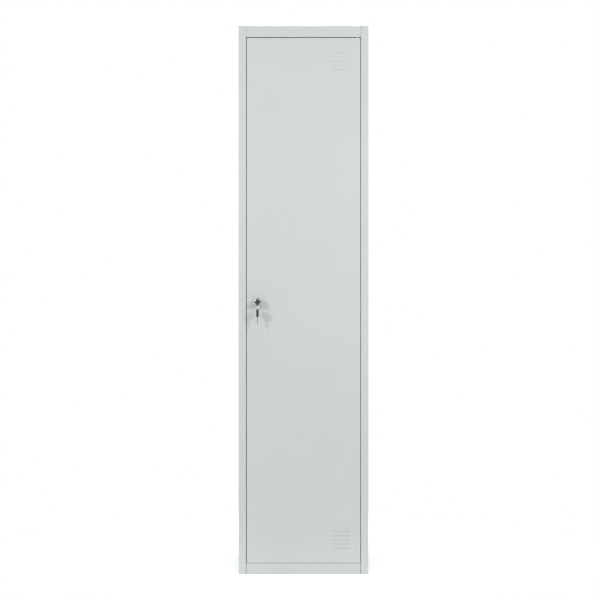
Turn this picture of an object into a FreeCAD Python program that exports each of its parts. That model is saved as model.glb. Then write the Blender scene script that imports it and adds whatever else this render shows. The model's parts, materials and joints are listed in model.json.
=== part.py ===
import FreeCAD, Part
import math
import os
import re
import Sketcher

# Tall single-door sheet-steel locker, in millimetres.
# +Z is up, +X is to the right of someone who faces the door, and the door faces -Y.
# The origin is on the floor, in the middle of the cabinet's footprint.

doc = FreeCAD.newDocument("side_locker")
sizes = doc.addObject("Spreadsheet::Sheet", "Sizes")

SIZES = [
    # the cabinet
    ("width", 450, "cabinet, outside"),
    ("depth", 500, "cabinet, outside"),
    ("height", 1900, "cabinet, outside"),
    ("sheet", 0.8, "cabinet sheet thickness"),
    ("bend", 1.3, "outside radius of the visible folds"),
    ("stile_width", 26, "front frame, each side"),
    ("stile_depth", 24, "front frame, front to back"),
    ("stop_width", 12, "door stop behind the lock edge"),
    ("rear_flange", 20, "flange at the back of each side"),
    ("top_rail", 38, "front frame, above the door"),
    ("bottom_rail", 38, "front frame, below the door"),
    ("rail_lip", 12, "stiffening lip behind the upper rail"),
    ("pan_flange", 20, "flanges of the top panel at the sides and back"),
    ("base_flange", 15, "flange that the cabinet stands on"),
    ("seam_top", 0.4, "joint between the upper rail and a stile"),
    ("seam_bottom", 1.2, "joint between the lower rail and a stile"),
    # holes and rivets
    ("rivet_count", 7, "back rivets on each side"),
    ("rivet_end", 110, "first back rivet from the floor, last one from the top"),
    ("rivet_radius", 1.6, "shank"),
    ("rivet_head_radius", 3.2, "head"),
    ("rivet_set_radius", 2.6, "head formed inside"),
    ("rivet_head", 1.0, "height of a head"),
    ("rivet_gap", 0.05, "radial clearance of a shank in its hole"),
    ("wall_hole_radius", 4, "wall fixing hole"),
    ("wall_hole_span", 240, "between the two wall fixing holes"),
    ("wall_hole_drop", 120, "wall fixing holes below the top"),
    ("side_hole_radius", 3.5, "hole for bolting the side to a tool chest"),
    ("side_hole_span_y", 240, "side fixing holes, front to back"),
    ("side_hole_span_z", 600, "side fixing holes, up and down"),
    ("side_hole_low", 200, "lower side fixing holes above the floor"),
    # shelf tracks
    ("track_width", 24, "shelf track"),
    ("track_depth", 5, "shelf track"),
    ("track_sheet", 1.2, "shelf track thickness"),
    ("track_inset", 70, "centre of a track from the front or back of the cabinet"),
    ("track_margin", 22, "track end to the top or bottom panel"),
    ("slot_pitch", 30, "between track slots"),
    ("slot_width", 11, "track slot, across"),
    ("slot_height", 4, "track slot, up and down"),
    ("slot_first", 20, "first slot above the track's lower end"),
    # shelves
    ("shelf_gap", 1, "shelf to the tracks, and to the back panel"),
    ("shelf_front", 36, "shelf front edge behind the cabinet's front"),
    ("shelf_fold", 24, "turned-down edges of a shelf"),
    ("shelf_hem", 10, "inward hem under a shelf's front edge"),
    ("hat_slot", 49, "track slot that carries the hat shelf, counted from 0"),
    ("lower_slot", 10, "track slot that carries the lower shelf, counted from 0"),
    ("clip_sheet", 1.5, "shelf clip thickness"),
    ("clip_width", 18, "shelf clip"),
    ("clip_drop", 16, "upright leaf of a clip, below its tab"),
    ("clip_tab", 12, "tab that carries the shelf"),
    ("clip_hook", 2.4, "hook behind the track's face"),
    ("clip_gap", 0.5, "play of the hook in its slot, all round"),
    # hanging rod
    ("rod_radius", 9.5, "hanging rod"),
    ("rod_wall", 1.2, "hanging rod tube"),
    ("rod_drop", 52, "rod's centre below the hat shelf"),
    ("rod_gap", 0.2, "rod in its bracket"),
    ("rod_overhang", 4, "rod end beyond its bracket"),
    ("bracket_sheet", 2, "rod bracket thickness"),
    ("bracket_width", 30, "rod bracket"),
    ("bracket_foot", 20, "rod bracket's foot under the shelf"),
    ("bracket_inset", 12, "rod bracket from the shelf's edge"),
    ("bracket_rivet_span", 16, "between a bracket's two rivets"),
    ("plug_lip", 1.5, "thickness of an end plug's lip"),
    ("plug_lip_over", 1.5, "end plug's lip beyond the rod"),
    ("plug_spigot", 10, "end plug inside the rod"),
    ("plug_gap", 0.1, "end plug in the rod"),
    # door
    ("gap_lock", 2.2, "door to the left stile"),
    ("gap_hinge", 1.9, "door to the right stile"),
    ("gap_top", 3, "door to the upper rail"),
    ("gap_bottom", 1, "door to the lower rail"),
    ("door_sheet", 1, "door sheet thickness"),
    ("door_depth", 20, "door, front to back"),
    ("door_return", 16, "flange round the back of the door"),
    ("stiffener_width", 50, "crown of the stiffener"),
    ("stiffener_foot", 12, "each foot of the stiffener"),
    ("stiffener_depth", 17, "stiffener"),
    ("stiffener_end", 3, "stiffener end to the door's edge"),
    # louvres
    ("louvre_count", 5, "louvres in a group"),
    ("louvre_pitch", 14.5, "between louvres"),
    ("louvre_run", 54, "straight part of a louvre"),
    ("louvre_radius", 8, "inside radius of a louvre's hood"),
    ("louvre_centre", 6.6, "centre of that radius in front of the door"),
    ("louvre_x", 128, "middle of a group right of the cabinet's middle"),
    ("louvre_low", 88.3, "lowest cut of the lower group above the floor"),
    ("louvre_high", 92.5, "highest cut of the upper group below the top"),
    # pivots
    ("pivot_inset", 11, "pivot from the door's hinge edge"),
    ("pivot_setback", 6, "pivot behind the front"),
    ("pin_radius", 2.5, "pivot pin"),
    ("pin_head_radius", 4.5, "pivot pin's head"),
    ("pin_head", 2, "pivot pin's head, thickness"),
    ("pin_reach", 8, "pin's reach into the door"),
    ("pin_seat", 0.02, "pin in its hinge plate, radial"),
    ("pin_play", 0.05, "pin in its bush, radial"),
    ("bush_wall", 1.5, "bush sleeve"),
    ("bush_flange", 0.8, "bush flange thickness"),
    ("bush_flange_over", 1, "bush flange beyond its sleeve"),
    ("bush_gap", 0.02, "bush in its hole, radial"),
    ("hinge_plate", 2.5, "plate on the rail that holds the pin"),
    ("hinge_plate_left", 28, "hinge plate, left of the pivot"),
    ("hinge_plate_right", 9, "hinge plate, right of the pivot"),
    ("hinge_plate_depth", 18, "hinge plate, front to back"),
    ("door_plate", 2, "plate in the door that holds the bush"),
    ("door_plate_left", 30, "door plate, left of the pivot"),
    ("door_plate_right", 8, "door plate, right of the pivot"),
    # door buffers
    ("buffer_count", 3, "rubber buffers on the door stop"),
    ("buffer_end", 250, "first buffer from the floor, last one from the top"),
    ("buffer_radius", 4.5, "rubber buffer"),
    ("buffer_gap", 0.2, "rubber buffer to the closed door"),
    # lock
    ("lock_inset", 66, "lock's axis from the cabinet's left side"),
    ("lock_height", 943, "lock's axis above the floor"),
    ("bezel_radius", 11, "face of the lock"),
    ("bezel_depth", 3, "face of the lock in front of the door"),
    ("bezel_round", 1.6, "rounded edge of the face"),
    ("barrel_radius", 9.5, "lock barrel"),
    ("barrel_flats", 16, "across the barrel's two flats"),
    ("barrel_gap", 0.2, "barrel in the door's hole"),
    ("plug_radius", 6, "lock plug"),
    ("plug_play", 0.05, "plug in the barrel, radial"),
    ("plug_face_radius", 7.5, "plug's face"),
    ("plug_face", 1.5, "thickness of the plug's face"),
    ("plug_proud", 0.3, "plug's face in front of the bezel"),
    ("plug_square", 7, "square end that turns the cam"),
    ("keyway_width", 2.6, "keyway"),
    ("keyway_height", 8.6, "keyway"),
    ("keyway_spare", 0.8, "keyway beyond the key's tip"),
    ("backing_span", 44, "plate behind the lock, across"),
    ("backing_height", 60, "plate behind the lock, up and down"),
    ("backing_sheet", 1.5, "plate behind the lock"),
    ("washer_radius", 13, "lock washer"),
    ("washer", 1, "lock washer thickness"),
    ("nut_flats", 24, "lock nut, across its flats"),
    ("nut", 4, "lock nut thickness"),
    ("nut_gap", 0.05, "nut and washer round the barrel, radial"),
    ("cam_sheet", 2, "cam thickness"),
    ("cam_width", 14, "cam"),
    ("cam_reach", 38, "cam tip from the lock's axis"),
    ("cam_clear", 0.6, "cam behind the door stop, and behind the barrel"),
    ("cam_gap", 0.05, "cam on its square"),
    ("screw_radius", 2, "cam screw"),
    ("screw_head_radius", 4.5, "cam screw's head"),
    ("screw_head", 2.2, "cam screw's head"),
    ("screw_length", 6, "cam screw in the plug"),
    # keys
    ("blade_width", 2.2, "key blade thickness"),
    ("blade_height", 8, "key blade"),
    ("blade_length", 25, "key blade outside its head"),
    ("blade_tang", 8, "key blade inside its head"),
    ("blade_shoulder", 1, "step from the blade to its tang, each side"),
    ("blade_tip", 2.5, "chamfer at the blade's tip"),
    ("blade_show", 2.5, "blade between the plug's face and the head"),
    ("head_length", 27.5, "key head"),
    ("head_width", 24, "key head"),
    ("head_thick", 8.6, "key head"),
    ("head_corner", 9, "key head's corner radius"),
    ("head_round", 1.5, "rounded edges of the key head"),
    ("eye_rim", 2.6, "key head's outer end to its eye"),
    ("eye_short", 5.6, "eye along the key"),
    ("eye_long", 14, "eye across the key"),
    ("ring_radius", 12.4, "key ring, to the middle of its wire"),
    ("ring_wire", 1, "key ring's wire radius"),
    ("ring_drop", 2.5, "wire's centre above the eye's lower end"),
]

for row, (name, amount, note) in enumerate(SIZES, 1):
    sizes.set(f"A{row}", name)
    sizes.set(f"B{row}", str(amount))
    sizes.set(f"C{row}", note)
    sizes.setAlias(f"B{row}", name)
doc.recompute()

# Places that follow from the sizes.
PLACES = {
    # how far a cutting shape reaches past the face it cuts
    "over": "1",
    # cabinet
    "front": "-depth / 2",
    "back": "depth / 2",
    "side": "width / 2",
    "side_in": "side - sheet",
    "stile_in": "side - stile_width",
    "stop_back": "front + stile_depth",
    "back_face": "back - 2 * sheet",
    "top_lip": "height - top_rail",
    "rivet_x": "side - rear_flange / 2",
    "rivet_step": "(height - 2 * rivet_end) / (rivet_count - 1)",
    "wall_hole_z": "height - wall_hole_drop",
    # tracks and shelves
    "track_face": "side_in - track_depth",
    "track_low": "bottom_rail + track_margin",
    "track_high": "height - pan_flange - track_margin",
    "shelf_side": "track_face - shelf_gap",
    "shelf_y0": "front + shelf_front",
    "shelf_y1": "back_face - shelf_gap",
    "slot_base": "track_low + slot_first",
    "hook_rise": "slot_height - clip_gap",
    "bracket_x": "shelf_side - bracket_inset",
    "rod_end": "bracket_x + rod_overhang",
    "foot_and_shelf": "sheet + bracket_sheet",
    # door
    "door_left": "-stile_in + gap_lock",
    "door_right": "stile_in - gap_hinge",
    "door_low": "bottom_rail + gap_bottom",
    "door_high": "height - top_rail - gap_top",
    "door_back": "front + door_depth",
    "pivot_x": "door_right - pivot_inset",
    "pivot_y": "front + pivot_setback",
    "bush_bore": "pin_radius + pin_play",
    "bush_radius": "bush_bore + bush_wall",
    "buffer_x": "-stile_in + stop_width / 2",
    "buffer_step": "(height - 2 * buffer_end) / (buffer_count - 1)",
    # lock, as distances from the lock's axis and from the cabinet's front
    "lock_x": "lock_inset - side",
    "cam_front": "stile_depth + cam_clear",
    "barrel_end": "cam_front - cam_clear",
    "plug_front": "-bezel_depth - plug_proud",
    "key_head_in": "plug_front - blade_show",
    "key_head_out": "key_head_in - head_length",
    "eye_y": "key_head_out + eye_rim + eye_short / 2",
    "blade_end": "key_head_in + blade_length",
    "keyway_end": "blade_end + keyway_spare",
    "nut_front": "door_sheet + backing_sheet + washer",
    # hanging keys, as heights from the lock's axis
    "ring_top": "ring_drop - eye_long / 2",
    "ring_middle": "ring_top - ring_radius",
    "ring_low": "ring_middle - ring_radius",
    "spare_eye": "ring_low + ring_drop - eye_short / 2",
    "spare_top": "spare_eye + eye_short / 2 + eye_rim",
}

WORD = re.compile(r"[a-z][a-z_]*[a-z](?:_?[0-9])?")
ALIASES = {name for name, _, _ in SIZES}


def formula(text):
    """An expression for FreeCAD, with each named place written out in cells of the sheet."""

    def swap(found):
        word = found.group()
        if word in PLACES:
            return "(" + formula(PLACES[word]) + ")"
        if word in ALIASES:
            return "Sizes." + word
        raise ValueError(f"no size or place is called {word}")

    return WORD.sub(swap, str(text))


# Rotations that lay a shape's own Z along another axis.
ALONG = {
    "x": FreeCAD.Rotation(FreeCAD.Vector(0, 1, 0), 90),
    "y": FreeCAD.Rotation(FreeCAD.Vector(1, 0, 0), -90),
    "z": FreeCAD.Rotation(),
}


def put(piece, x, y, z, along="z"):
    piece.Placement = FreeCAD.Placement(FreeCAD.Vector(), ALONG[along])
    for name, place in (("x", x), ("y", y), ("z", z)):
        piece.setExpression(f"Placement.Base.{name}", formula(place))
    return piece


def box(x, y, z):
    """A block between two places along each axis."""
    piece = doc.addObject("Part::Box", "block")
    for name, (low, high) in (("Length", x), ("Width", y), ("Height", z)):
        piece.setExpression(name, formula(f"({high}) - ({low})"))
    return put(piece, x[0], y[0], z[0])


def cylinder(radius, length, x, y, z, along="z"):
    """A round bar whose first end has its middle at x, y, z."""
    piece = doc.addObject("Part::Cylinder", "bar")
    piece.setExpression("Radius", formula(radius))
    piece.setExpression("Height", formula(length))
    return put(piece, x, y, z, along)


def join(kind, label, pieces):
    """One object of several: a fuse, or a compound whose solids stay separate."""
    made = doc.addObject(kind, "joined")
    made.Label = label
    if kind == "Part::Compound":
        made.Links = pieces
    else:
        made.Shapes = pieces
        made.Refine = True
    return made


def fuse(label, *pieces):
    return join("Part::MultiFuse", label, list(pieces))


def group(label, pieces):
    return join("Part::Compound", label, list(pieces))


def cut(label, base, *tools):
    made = doc.addObject("Part::Cut", "cut")
    made.Label = label
    made.Base = base
    made.Tool = tools[0] if len(tools) == 1 else group("tools", tools)
    return made


def common(label, base, tool):
    made = doc.addObject("Part::Common", "common")
    made.Label = label
    made.Base = base
    made.Tool = tool
    return made


def body(label):
    made = doc.addObject("PartDesign::Body", "body")
    made.Label = label
    return made


def sketch(owner, role, offset="0"):
    """An empty sketch on one of the body's own origin planes, moved along that plane's normal."""
    made = owner.newObject("Sketcher::SketchObject", "outline")
    plane = next(item for item in owner.Origin.OriginFeatures if item.Role == role)
    made.AttachmentSupport = [(plane, "")]
    made.MapMode = "FlatFace"
    made.setExpression("AttachmentOffset.Base.z", formula(offset))
    return made


def polygon(drawing, points):
    """A closed outline with straight sides, each corner held at a named place."""
    count = len(points)
    first = drawing.GeometryCount
    for turn in range(count):
        ends = [
            FreeCAD.Vector(math.cos(step), math.sin(step), 0)
            for step in (2 * math.pi * turn / count, 2 * math.pi * (turn + 1) / count)
        ]
        drawing.addGeometry(Part.LineSegment(*ends), False)
    for turn in range(count):
        after = first + (turn + 1) % count
        drawing.addConstraint(Sketcher.Constraint("Coincident", first + turn, 2, after, 1))
    for turn, corner in enumerate(points):
        for kind, place in zip(("DistanceX", "DistanceY"), corner):
            held = drawing.addConstraint(Sketcher.Constraint(kind, -1, 1, first + turn, 1, 1.0))
            drawing.setExpression(f"Constraints[{held}]", formula(place))
    return drawing


def pad(owner, drawing, length):
    made = owner.newObject("PartDesign::Pad", "pad")
    made.Profile = drawing
    made.setExpression("Length", formula(length))
    doc.recompute()
    return made


def edges_where(shape, test):
    """Names of the straight edges that a test on their direction and middle picks."""
    names = []
    for index, edge in enumerate(shape.Edges, 1):
        if edge.Curve.TypeId != "Part::GeomLine":
            continue
        along = edge.tangentAt(edge.FirstParameter)
        if test(along, edge.CenterOfMass, shape.BoundBox):
            names.append(f"Edge{index}")
    return names


SAME = 1e-6  # mm within which two places are one


def same(one, other):
    return abs(one - other) < SAME


def round_body(owner, feature, test, radius):
    made = owner.newObject("PartDesign::Fillet", "round")
    made.Base = (feature, edges_where(feature.Shape, test))
    made.setExpression("Radius", formula(radius))
    doc.recompute()
    return made


def round_shape(base, test, radius):
    """A Part fillet: its radius is read from the sheet here."""
    doc.recompute()
    made = doc.addObject("Part::Fillet", "rounded")
    made.Base = base
    names = edges_where(base.Shape, test)
    made.Edges = [(int(name[4:]), radius, radius) for name in names]
    return made


def turned(label, points, x, y, z, along="z"):
    """A turned piece: half its outline as (radius, place along its axis), stood at x, y, z."""
    made = body(label)
    drawing = polygon(sketch(made, "XZ_Plane"), points)
    spun = made.newObject("PartDesign::Revolution", "turning")
    spun.Profile = drawing
    spun.ReferenceAxis = (drawing, ["V_Axis"])
    spun.Angle = 360
    return put(made, x, y, z, along)


# --- Side panels -------------------------------------------------------------
# Each is one sheet, folded at the front into a stile and at the back into a flange.
# The left stile ends in a flange behind the door, which stops it and holds the cam.

def sorted_span(way, near, far):
    """Two places right of the middle, or their mirror images left of it, low one first."""
    return (near, far) if way == "" else (f"-({far})", f"-({near})")


def rivet_hole(x, z):
    return cylinder("rivet_radius + rivet_gap", "2 * sheet + 2 * over", x, "back_face - over", z, along="y")


def side_panel(label, way, stopped):
    made = body("folded_side")
    outline = [
        ("side", "front"),
        ("stile_in", "front"),
    ]
    if stopped:
        outline += [
            ("stile_in", "stop_back - sheet"),
            ("stile_in - stop_width", "stop_back - sheet"),
            ("stile_in - stop_width", "stop_back"),
        ]
    else:
        outline += [("stile_in", "stop_back")]
    outline += [
        ("stile_in + sheet", "stop_back"),
        ("stile_in + sheet", "front + sheet"),
        ("side_in", "front + sheet"),
        ("side_in", "back - sheet"),
        ("side - rear_flange", "back - sheet"),
        ("side - rear_flange", "back"),
        ("side", "back"),
    ]
    drawing = polygon(sketch(made, "XY_Plane"), [(f"{way}({x})", y) for x, y in outline])
    folded = pad(made, drawing, "height")

    def outer_fold(along, middle, span):
        at_front = same(middle.y, span.YMin)
        at_side = same(abs(middle.x), max(abs(span.XMin), abs(span.XMax)))
        at_back = same(middle.y, span.YMax) and at_side
        return abs(along.z) > 0.9 and (at_front or at_back)

    round_body(made, folded, outer_fold, "bend")
    # a tab folded across the stile closes its lower end
    tab = box(
        sorted_span(way, "stile_in + sheet", "side_in"),
        ("front + sheet", "stop_back"),
        ("0", "sheet"),
    )
    stop = sorted_span(way, "stile_in - stop_width - over", "stile_in")
    holes = [
        # the roof lies over the stile, whose inner wall ends below it
        box(
            sorted_span(way, "stile_in - stop_width - over", "stile_in + sheet"),
            ("front + sheet", "stop_back + over"),
            ("height - sheet", "height + over"),
        ),
        # the door stop runs only between the rails
        box(stop, ("stop_back - sheet - over", "stop_back + over"), ("-over", "bottom_rail")),
        box(stop, ("stop_back - sheet - over", "stop_back + over"), ("top_lip", "height + over")),
    ]
    for index in range(int(sizes.rivet_count)):
        high = f"rivet_end + {index} * rivet_step"
        holes.append(rivet_hole(f"{way}(rivet_x)", high))
    for across in ("-", ""):
        for high in ("side_hole_low", "side_hole_low + side_hole_span_z"):
            start = "-side - over" if way == "-" else "side_in - over"
            place = (start, f"{across}(side_hole_span_y / 2)", high)
            holes.append(cylinder("side_hole_radius", "sheet + 2 * over", *place, along="x"))
    return cut(label, fuse("closed_side", made, tab), *holes)


side_panel_left = side_panel("side_panel_left", "-", True)
side_panel_right = side_panel("side_panel_right", "", False)

# --- Back panel --------------------------------------------------------------
# A flat sheet in front of the side panels' rear flanges, with two wall fixing holes.

back_sheet = box(("-side_in", "side_in"), ("back_face", "back - sheet"), ("0", "height - sheet"))
back_holes = []
for way in ("-", ""):
    for index in range(int(sizes.rivet_count)):
        back_holes.append(rivet_hole(f"{way}(rivet_x)", f"rivet_end + {index} * rivet_step"))
    place = (f"{way}(wall_hole_span / 2)", "back_face - over", "wall_hole_z")
    back_holes.append(cylinder("wall_hole_radius", "sheet + 2 * over", *place, along="y"))
back_panel = cut("back_panel", back_sheet, *back_holes)

# Blind rivets: a wide head outside, a shank through both sheets and a set head inside.
rivets = []
for way in ("-", ""):
    for index in range(int(sizes.rivet_count)):
        x = f"{way}(rivet_x)"
        z = f"rivet_end + {index} * rivet_step"
        inside = "back_face - rivet_head"
        rivets.append(
            fuse(
                "rivet",
                cylinder("rivet_radius", "2 * (sheet + rivet_head)", x, inside, z, along="y"),
                cylinder("rivet_head_radius", "rivet_head", x, "back", z, along="y"),
                cylinder("rivet_set_radius", "rivet_head", x, inside, z, along="y"),
            )
        )
back_rivets = group("back_rivets", rivets)

# --- Top panel ---------------------------------------------------------------
# The roof sheet runs over the stiles. Its front edge turns down as the upper rail.

rail_side = "stile_in - seam_top"
rail_span = (f"-({rail_side})", rail_side)
roof = fuse(
    "roof",
    box(("-side_in", "side_in"), ("front + sheet", "back_face"), ("height - sheet", "height")),
    box(rail_span, ("front", "front + 2 * sheet"), ("top_lip", "height")),
)
rail_front = round_shape(
    roof,
    lambda along, middle, span: abs(along.x) > 0.9 and same(middle.y, span.YMin),
    sizes.bend,
)
rail_hollow = box(
    rail_span,
    ("front + sheet", "front + 3 * sheet"),
    ("top_lip + sheet", "height - sheet"),
)
top_parts = [
    cut("rail", rail_front, rail_hollow),
    box(rail_span, ("front + sheet", "stop_back"), ("top_lip", "top_lip + sheet")),
    box(rail_span, ("stop_back - sheet", "stop_back"), ("top_lip", "top_lip + rail_lip")),
    box(("-side_in", "side_in"), ("back_face - sheet", "back_face"), ("height - pan_flange", "height")),
]
for way in ("-", ""):
    wall = sorted_span(way, "side_in - sheet", "side_in")
    top_parts.append(box(wall, ("stop_back", "back_face"), ("height - pan_flange", "height")))


def pin_hole(thickness, low):
    place = ("pivot_x", "pivot_y", f"{low} - over")
    return cylinder("pin_radius + pin_seat", f"{thickness} + 2 * over", *place)


top_panel = cut("top_panel", fuse("top_folds", *top_parts), pin_hole("sheet", "top_lip"))

# --- Bottom panel ------------------------------------------------------------
# The floor is level with the lower rail's top edge. Its sides turn down to the ground and
# inward again, as one flange all round that the cabinet stands on.

def tray(inset, low, high):
    """The floor's outline, with a tongue between the stiles, all its edges moved in."""
    tongue = f"stile_in - seam_bottom - ({inset})"
    plate = f"side_in - ({inset})"
    return fuse(
        "tray",
        box((f"-({plate})", plate), (f"stop_back + ({inset})", f"back_face - ({inset})"), (low, high)),
        box((f"-({tongue})", tongue), (f"front + ({inset})", f"stop_back + ({inset}) + over"), (low, high)),
    )


tray_round = round_shape(
    tray("0", "0", "bottom_rail"),
    lambda along, middle, span: (
        abs(along.x) > 0.9 and same(middle.y, span.YMin) and same(middle.z, span.ZMax)
    ),
    sizes.bend,
)
bottom_panel = cut(
    "bottom_panel",
    tray_round,
    tray("sheet", "sheet", "bottom_rail - sheet"),
    tray("base_flange", "-over", "sheet + over"),
    pin_hole("sheet", "bottom_rail - sheet"),
)

# --- Shelf tracks ------------------------------------------------------------
# Slotted channels welded inside the side panels, two on each side.

def shelf_track(label, way, middle):
    made = body(label)
    near = f"({middle}) - track_width / 2"
    far = f"({middle}) + track_width / 2"
    outline = [
        ("side_in", near),
        ("track_face", near),
        ("track_face", far),
        ("side_in", far),
        ("side_in", f"{far} - track_sheet"),
        ("track_face + track_sheet", f"{far} - track_sheet"),
        ("track_face + track_sheet", f"{near} + track_sheet"),
        ("side_in", f"{near} + track_sheet"),
    ]
    drawing = polygon(sketch(made, "XY_Plane", "track_low"), [(f"{way}({x})", y) for x, y in outline])
    channel = pad(made, drawing, "track_high - track_low")
    window = polygon(
        sketch(made, "YZ_Plane", f"{way}(track_face - over)"),
        [
            (f"({middle}) + {y} * slot_width / 2", f"slot_base + {z} * slot_height / 2")
            for y, z in ((-1, -1), (1, -1), (1, 1), (-1, 1))
        ],
    )
    slot = made.newObject("PartDesign::Pocket", "slot")
    slot.Profile = window
    slot.Reversed = way == ""
    slot.setExpression("Length", formula("track_sheet + 2 * over"))
    doc.recompute()
    if not slot.Shape.Volume < channel.Shape.Volume - 1:
        raise RuntimeError(f"{label}: the slot cuts nothing")
    row = made.newObject("PartDesign::LinearPattern", "slots")
    row.Originals = [slot]
    upright = next(item for item in made.Origin.OriginFeatures if item.Role == "Z_Axis")
    row.Direction = (upright, [""])
    run = sizes.height - sizes.pan_flange - sizes.bottom_rail - 2 * sizes.track_margin
    steps = int((run - 2 * sizes.slot_first) // sizes.slot_pitch)
    row.setExpression("Length", formula(f"{steps} * slot_pitch"))
    row.Occurrences = steps + 1
    made.Tip = row
    return made


tracks = []
for side_name, way in (("left", "-"), ("right", "")):
    for end_name, middle in (("front", "front + track_inset"), ("rear", "back - track_inset")):
        tracks.append(shelf_track(f"track_{end_name}_{side_name}", way, middle))

# --- Shelves -----------------------------------------------------------------
# Each shelf is a pan with its edges turned down, laid on four clips in the track slots.

def shelf_top(slot):
    """The height of a shelf whose clips hook into this slot."""
    return f"slot_base + {slot} * slot_pitch + slot_height / 2 + clip_sheet + shelf_fold"


def shelf(label, slot, holes):
    top = shelf_top(slot)
    whole = box(("-shelf_side", "shelf_side"), ("shelf_y0", "shelf_y1"), (f"{top} - shelf_fold", top))
    rounded = round_shape(
        whole,
        lambda along, middle, span: (
            same(middle.z, span.ZMax) or (abs(along.z) > 0.9 and same(middle.y, span.YMin))
        ),
        sizes.bend,
    )
    hollow = box(
        ("-(shelf_side - sheet)", "shelf_side - sheet"),
        ("shelf_y0 + sheet", "shelf_y1 - sheet"),
        (f"{top} - shelf_fold + sheet", f"{top} - sheet"),
    )
    mouth = box(
        ("-(shelf_side - sheet)", "shelf_side - sheet"),
        ("shelf_y0 + shelf_hem", "shelf_y1 - sheet"),
        (f"{top} - shelf_fold - over", f"{top} - shelf_fold + sheet + over"),
    )
    return cut(label, rounded, hollow, mouth, *holes)


def shelf_clips(label, slot):
    clips = []
    slot_z = f"slot_base + {slot} * slot_pitch"
    tab_top = f"{slot_z} + slot_height / 2 + clip_sheet"
    for way in ("-", ""):
        for middle in ("front + track_inset", "back - track_inset"):
            across = (f"{middle} - clip_width / 2", f"{middle} + clip_width / 2")
            in_slot = (f"{middle} - slot_width / 2 + clip_gap", f"{middle} + slot_width / 2 - clip_gap")
            leaf = sorted_span(way, "track_face - clip_sheet", "track_face")
            tab = sorted_span(way, "track_face - clip_tab", "track_face")
            hook = sorted_span(way, "track_face - clip_sheet / 2", "track_face + track_sheet + clip_hook")
            clips.append(
                fuse(
                    "clip",
                    box(leaf, across, (f"{tab_top} - clip_drop", tab_top)),
                    box(tab, across, (f"{tab_top} - clip_sheet", tab_top)),
                    box(hook, in_slot, (f"{slot_z} - hook_rise / 2", f"{slot_z} + hook_rise / 2")),
                )
            )
    return group(label, clips)


hat_top = shelf_top("hat_slot")
foot_top = f"{hat_top} - sheet"
foot_low = f"{foot_top} - bracket_sheet"


def bracket_rivet_places(way):
    return [(f"{way}(bracket_x - bracket_foot / 2)", f"{turn}(bracket_rivet_span / 2)") for turn in ("-", "")]


def bracket_rivet_holes(way):
    length = "foot_and_shelf + 2 * over"
    return [
        cylinder("rivet_radius + rivet_gap", length, *place, f"{foot_low} - over")
        for place in bracket_rivet_places(way)
    ]


hat_shelf = shelf("hat_shelf", "hat_slot", bracket_rivet_holes("-") + bracket_rivet_holes(""))
lower_shelf = shelf("lower_shelf", "lower_slot", [])
hat_shelf_clips = shelf_clips("hat_shelf_clips", "hat_slot")
lower_shelf_clips = shelf_clips("lower_shelf_clips", "lower_slot")

# --- Hanging rod -------------------------------------------------------------
# A steel tube under the hat shelf, through two brackets riveted to the shelf.

rod_z = f"{hat_top} - rod_drop"


def rod_bracket(label, way):
    plate = sorted_span(way, "bracket_x - bracket_sheet", "bracket_x")
    foot = sorted_span(way, "bracket_x - bracket_foot", "bracket_x")
    across = ("-bracket_width / 2", "bracket_width / 2")
    folded = fuse(
        "bracket",
        box(plate, across, (rod_z, foot_top)),
        box(foot, across, (foot_low, foot_top)),
        cylinder("bracket_width / 2", "bracket_sheet", plate[0], "0", rod_z, along="x"),
    )
    length = "bracket_sheet + 2 * over"
    rod_hole = cylinder("rod_radius + rod_gap", length, f"{plate[0]} - over", "0", rod_z, along="x")
    return cut(label, folded, rod_hole, *bracket_rivet_holes(way))


rod_bracket_left = rod_bracket("rod_bracket_left", "-")
rod_bracket_right = rod_bracket("rod_bracket_right", "")

rivet_low = f"{foot_low} - rivet_head"
rod_rivets = group(
    "rod_rivets",
    [
        fuse(
            "rivet",
            cylinder("rivet_radius", "foot_and_shelf + 2 * rivet_head", *place, rivet_low),
            cylinder("rivet_head_radius", "rivet_head", *place, rivet_low),
            cylinder("rivet_set_radius", "rivet_head", *place, hat_top),
        )
        for place in bracket_rivet_places("-") + bracket_rivet_places("")
    ],
)

rod_bore = "rod_radius - rod_wall"
hanging_rod = turned(
    "hanging_rod",
    [(rod_bore, "0"), ("rod_radius", "0"), ("rod_radius", "2 * rod_end"), (rod_bore, "2 * rod_end")],
    "-rod_end",
    "0",
    rod_z,
    along="x",
)

rod_end_plugs = group(
    "rod_end_plugs",
    [
        fuse(
            "end_plug",
            cylinder("rod_radius + plug_lip_over", "plug_lip", lip, "0", rod_z, along="x"),
            cylinder(f"{rod_bore} - plug_gap", "plug_spigot + plug_lip / 2", spigot, "0", rod_z, along="x"),
        )
        for lip, spigot in (
            ("-rod_end - plug_lip", "-rod_end - plug_lip / 2"),
            ("rod_end", "rod_end - plug_spigot"),
        )
    ],
)

# --- Pivots ------------------------------------------------------------------
# A plate welded behind each rail holds a headed pin. The door turns on the two pins, in
# nylon bushes that a plate inside the door backs.

hinge_x = ("pivot_x - hinge_plate_left", "pivot_x + hinge_plate_right")
hinge_y = ("front + sheet", "front + sheet + hinge_plate_depth")
plate_top_z = ("top_lip + sheet", "top_lip + sheet + hinge_plate")
plate_low_z = ("bottom_rail - sheet - hinge_plate", "bottom_rail - sheet")
hinge_plate_top = cut(
    "hinge_plate_top",
    box(hinge_x, hinge_y, plate_top_z),
    pin_hole("hinge_plate", plate_top_z[0]),
)
hinge_plate_bottom = cut(
    "hinge_plate_bottom",
    box(hinge_x, hinge_y, plate_low_z),
    pin_hole("hinge_plate", plate_low_z[0]),
)


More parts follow.
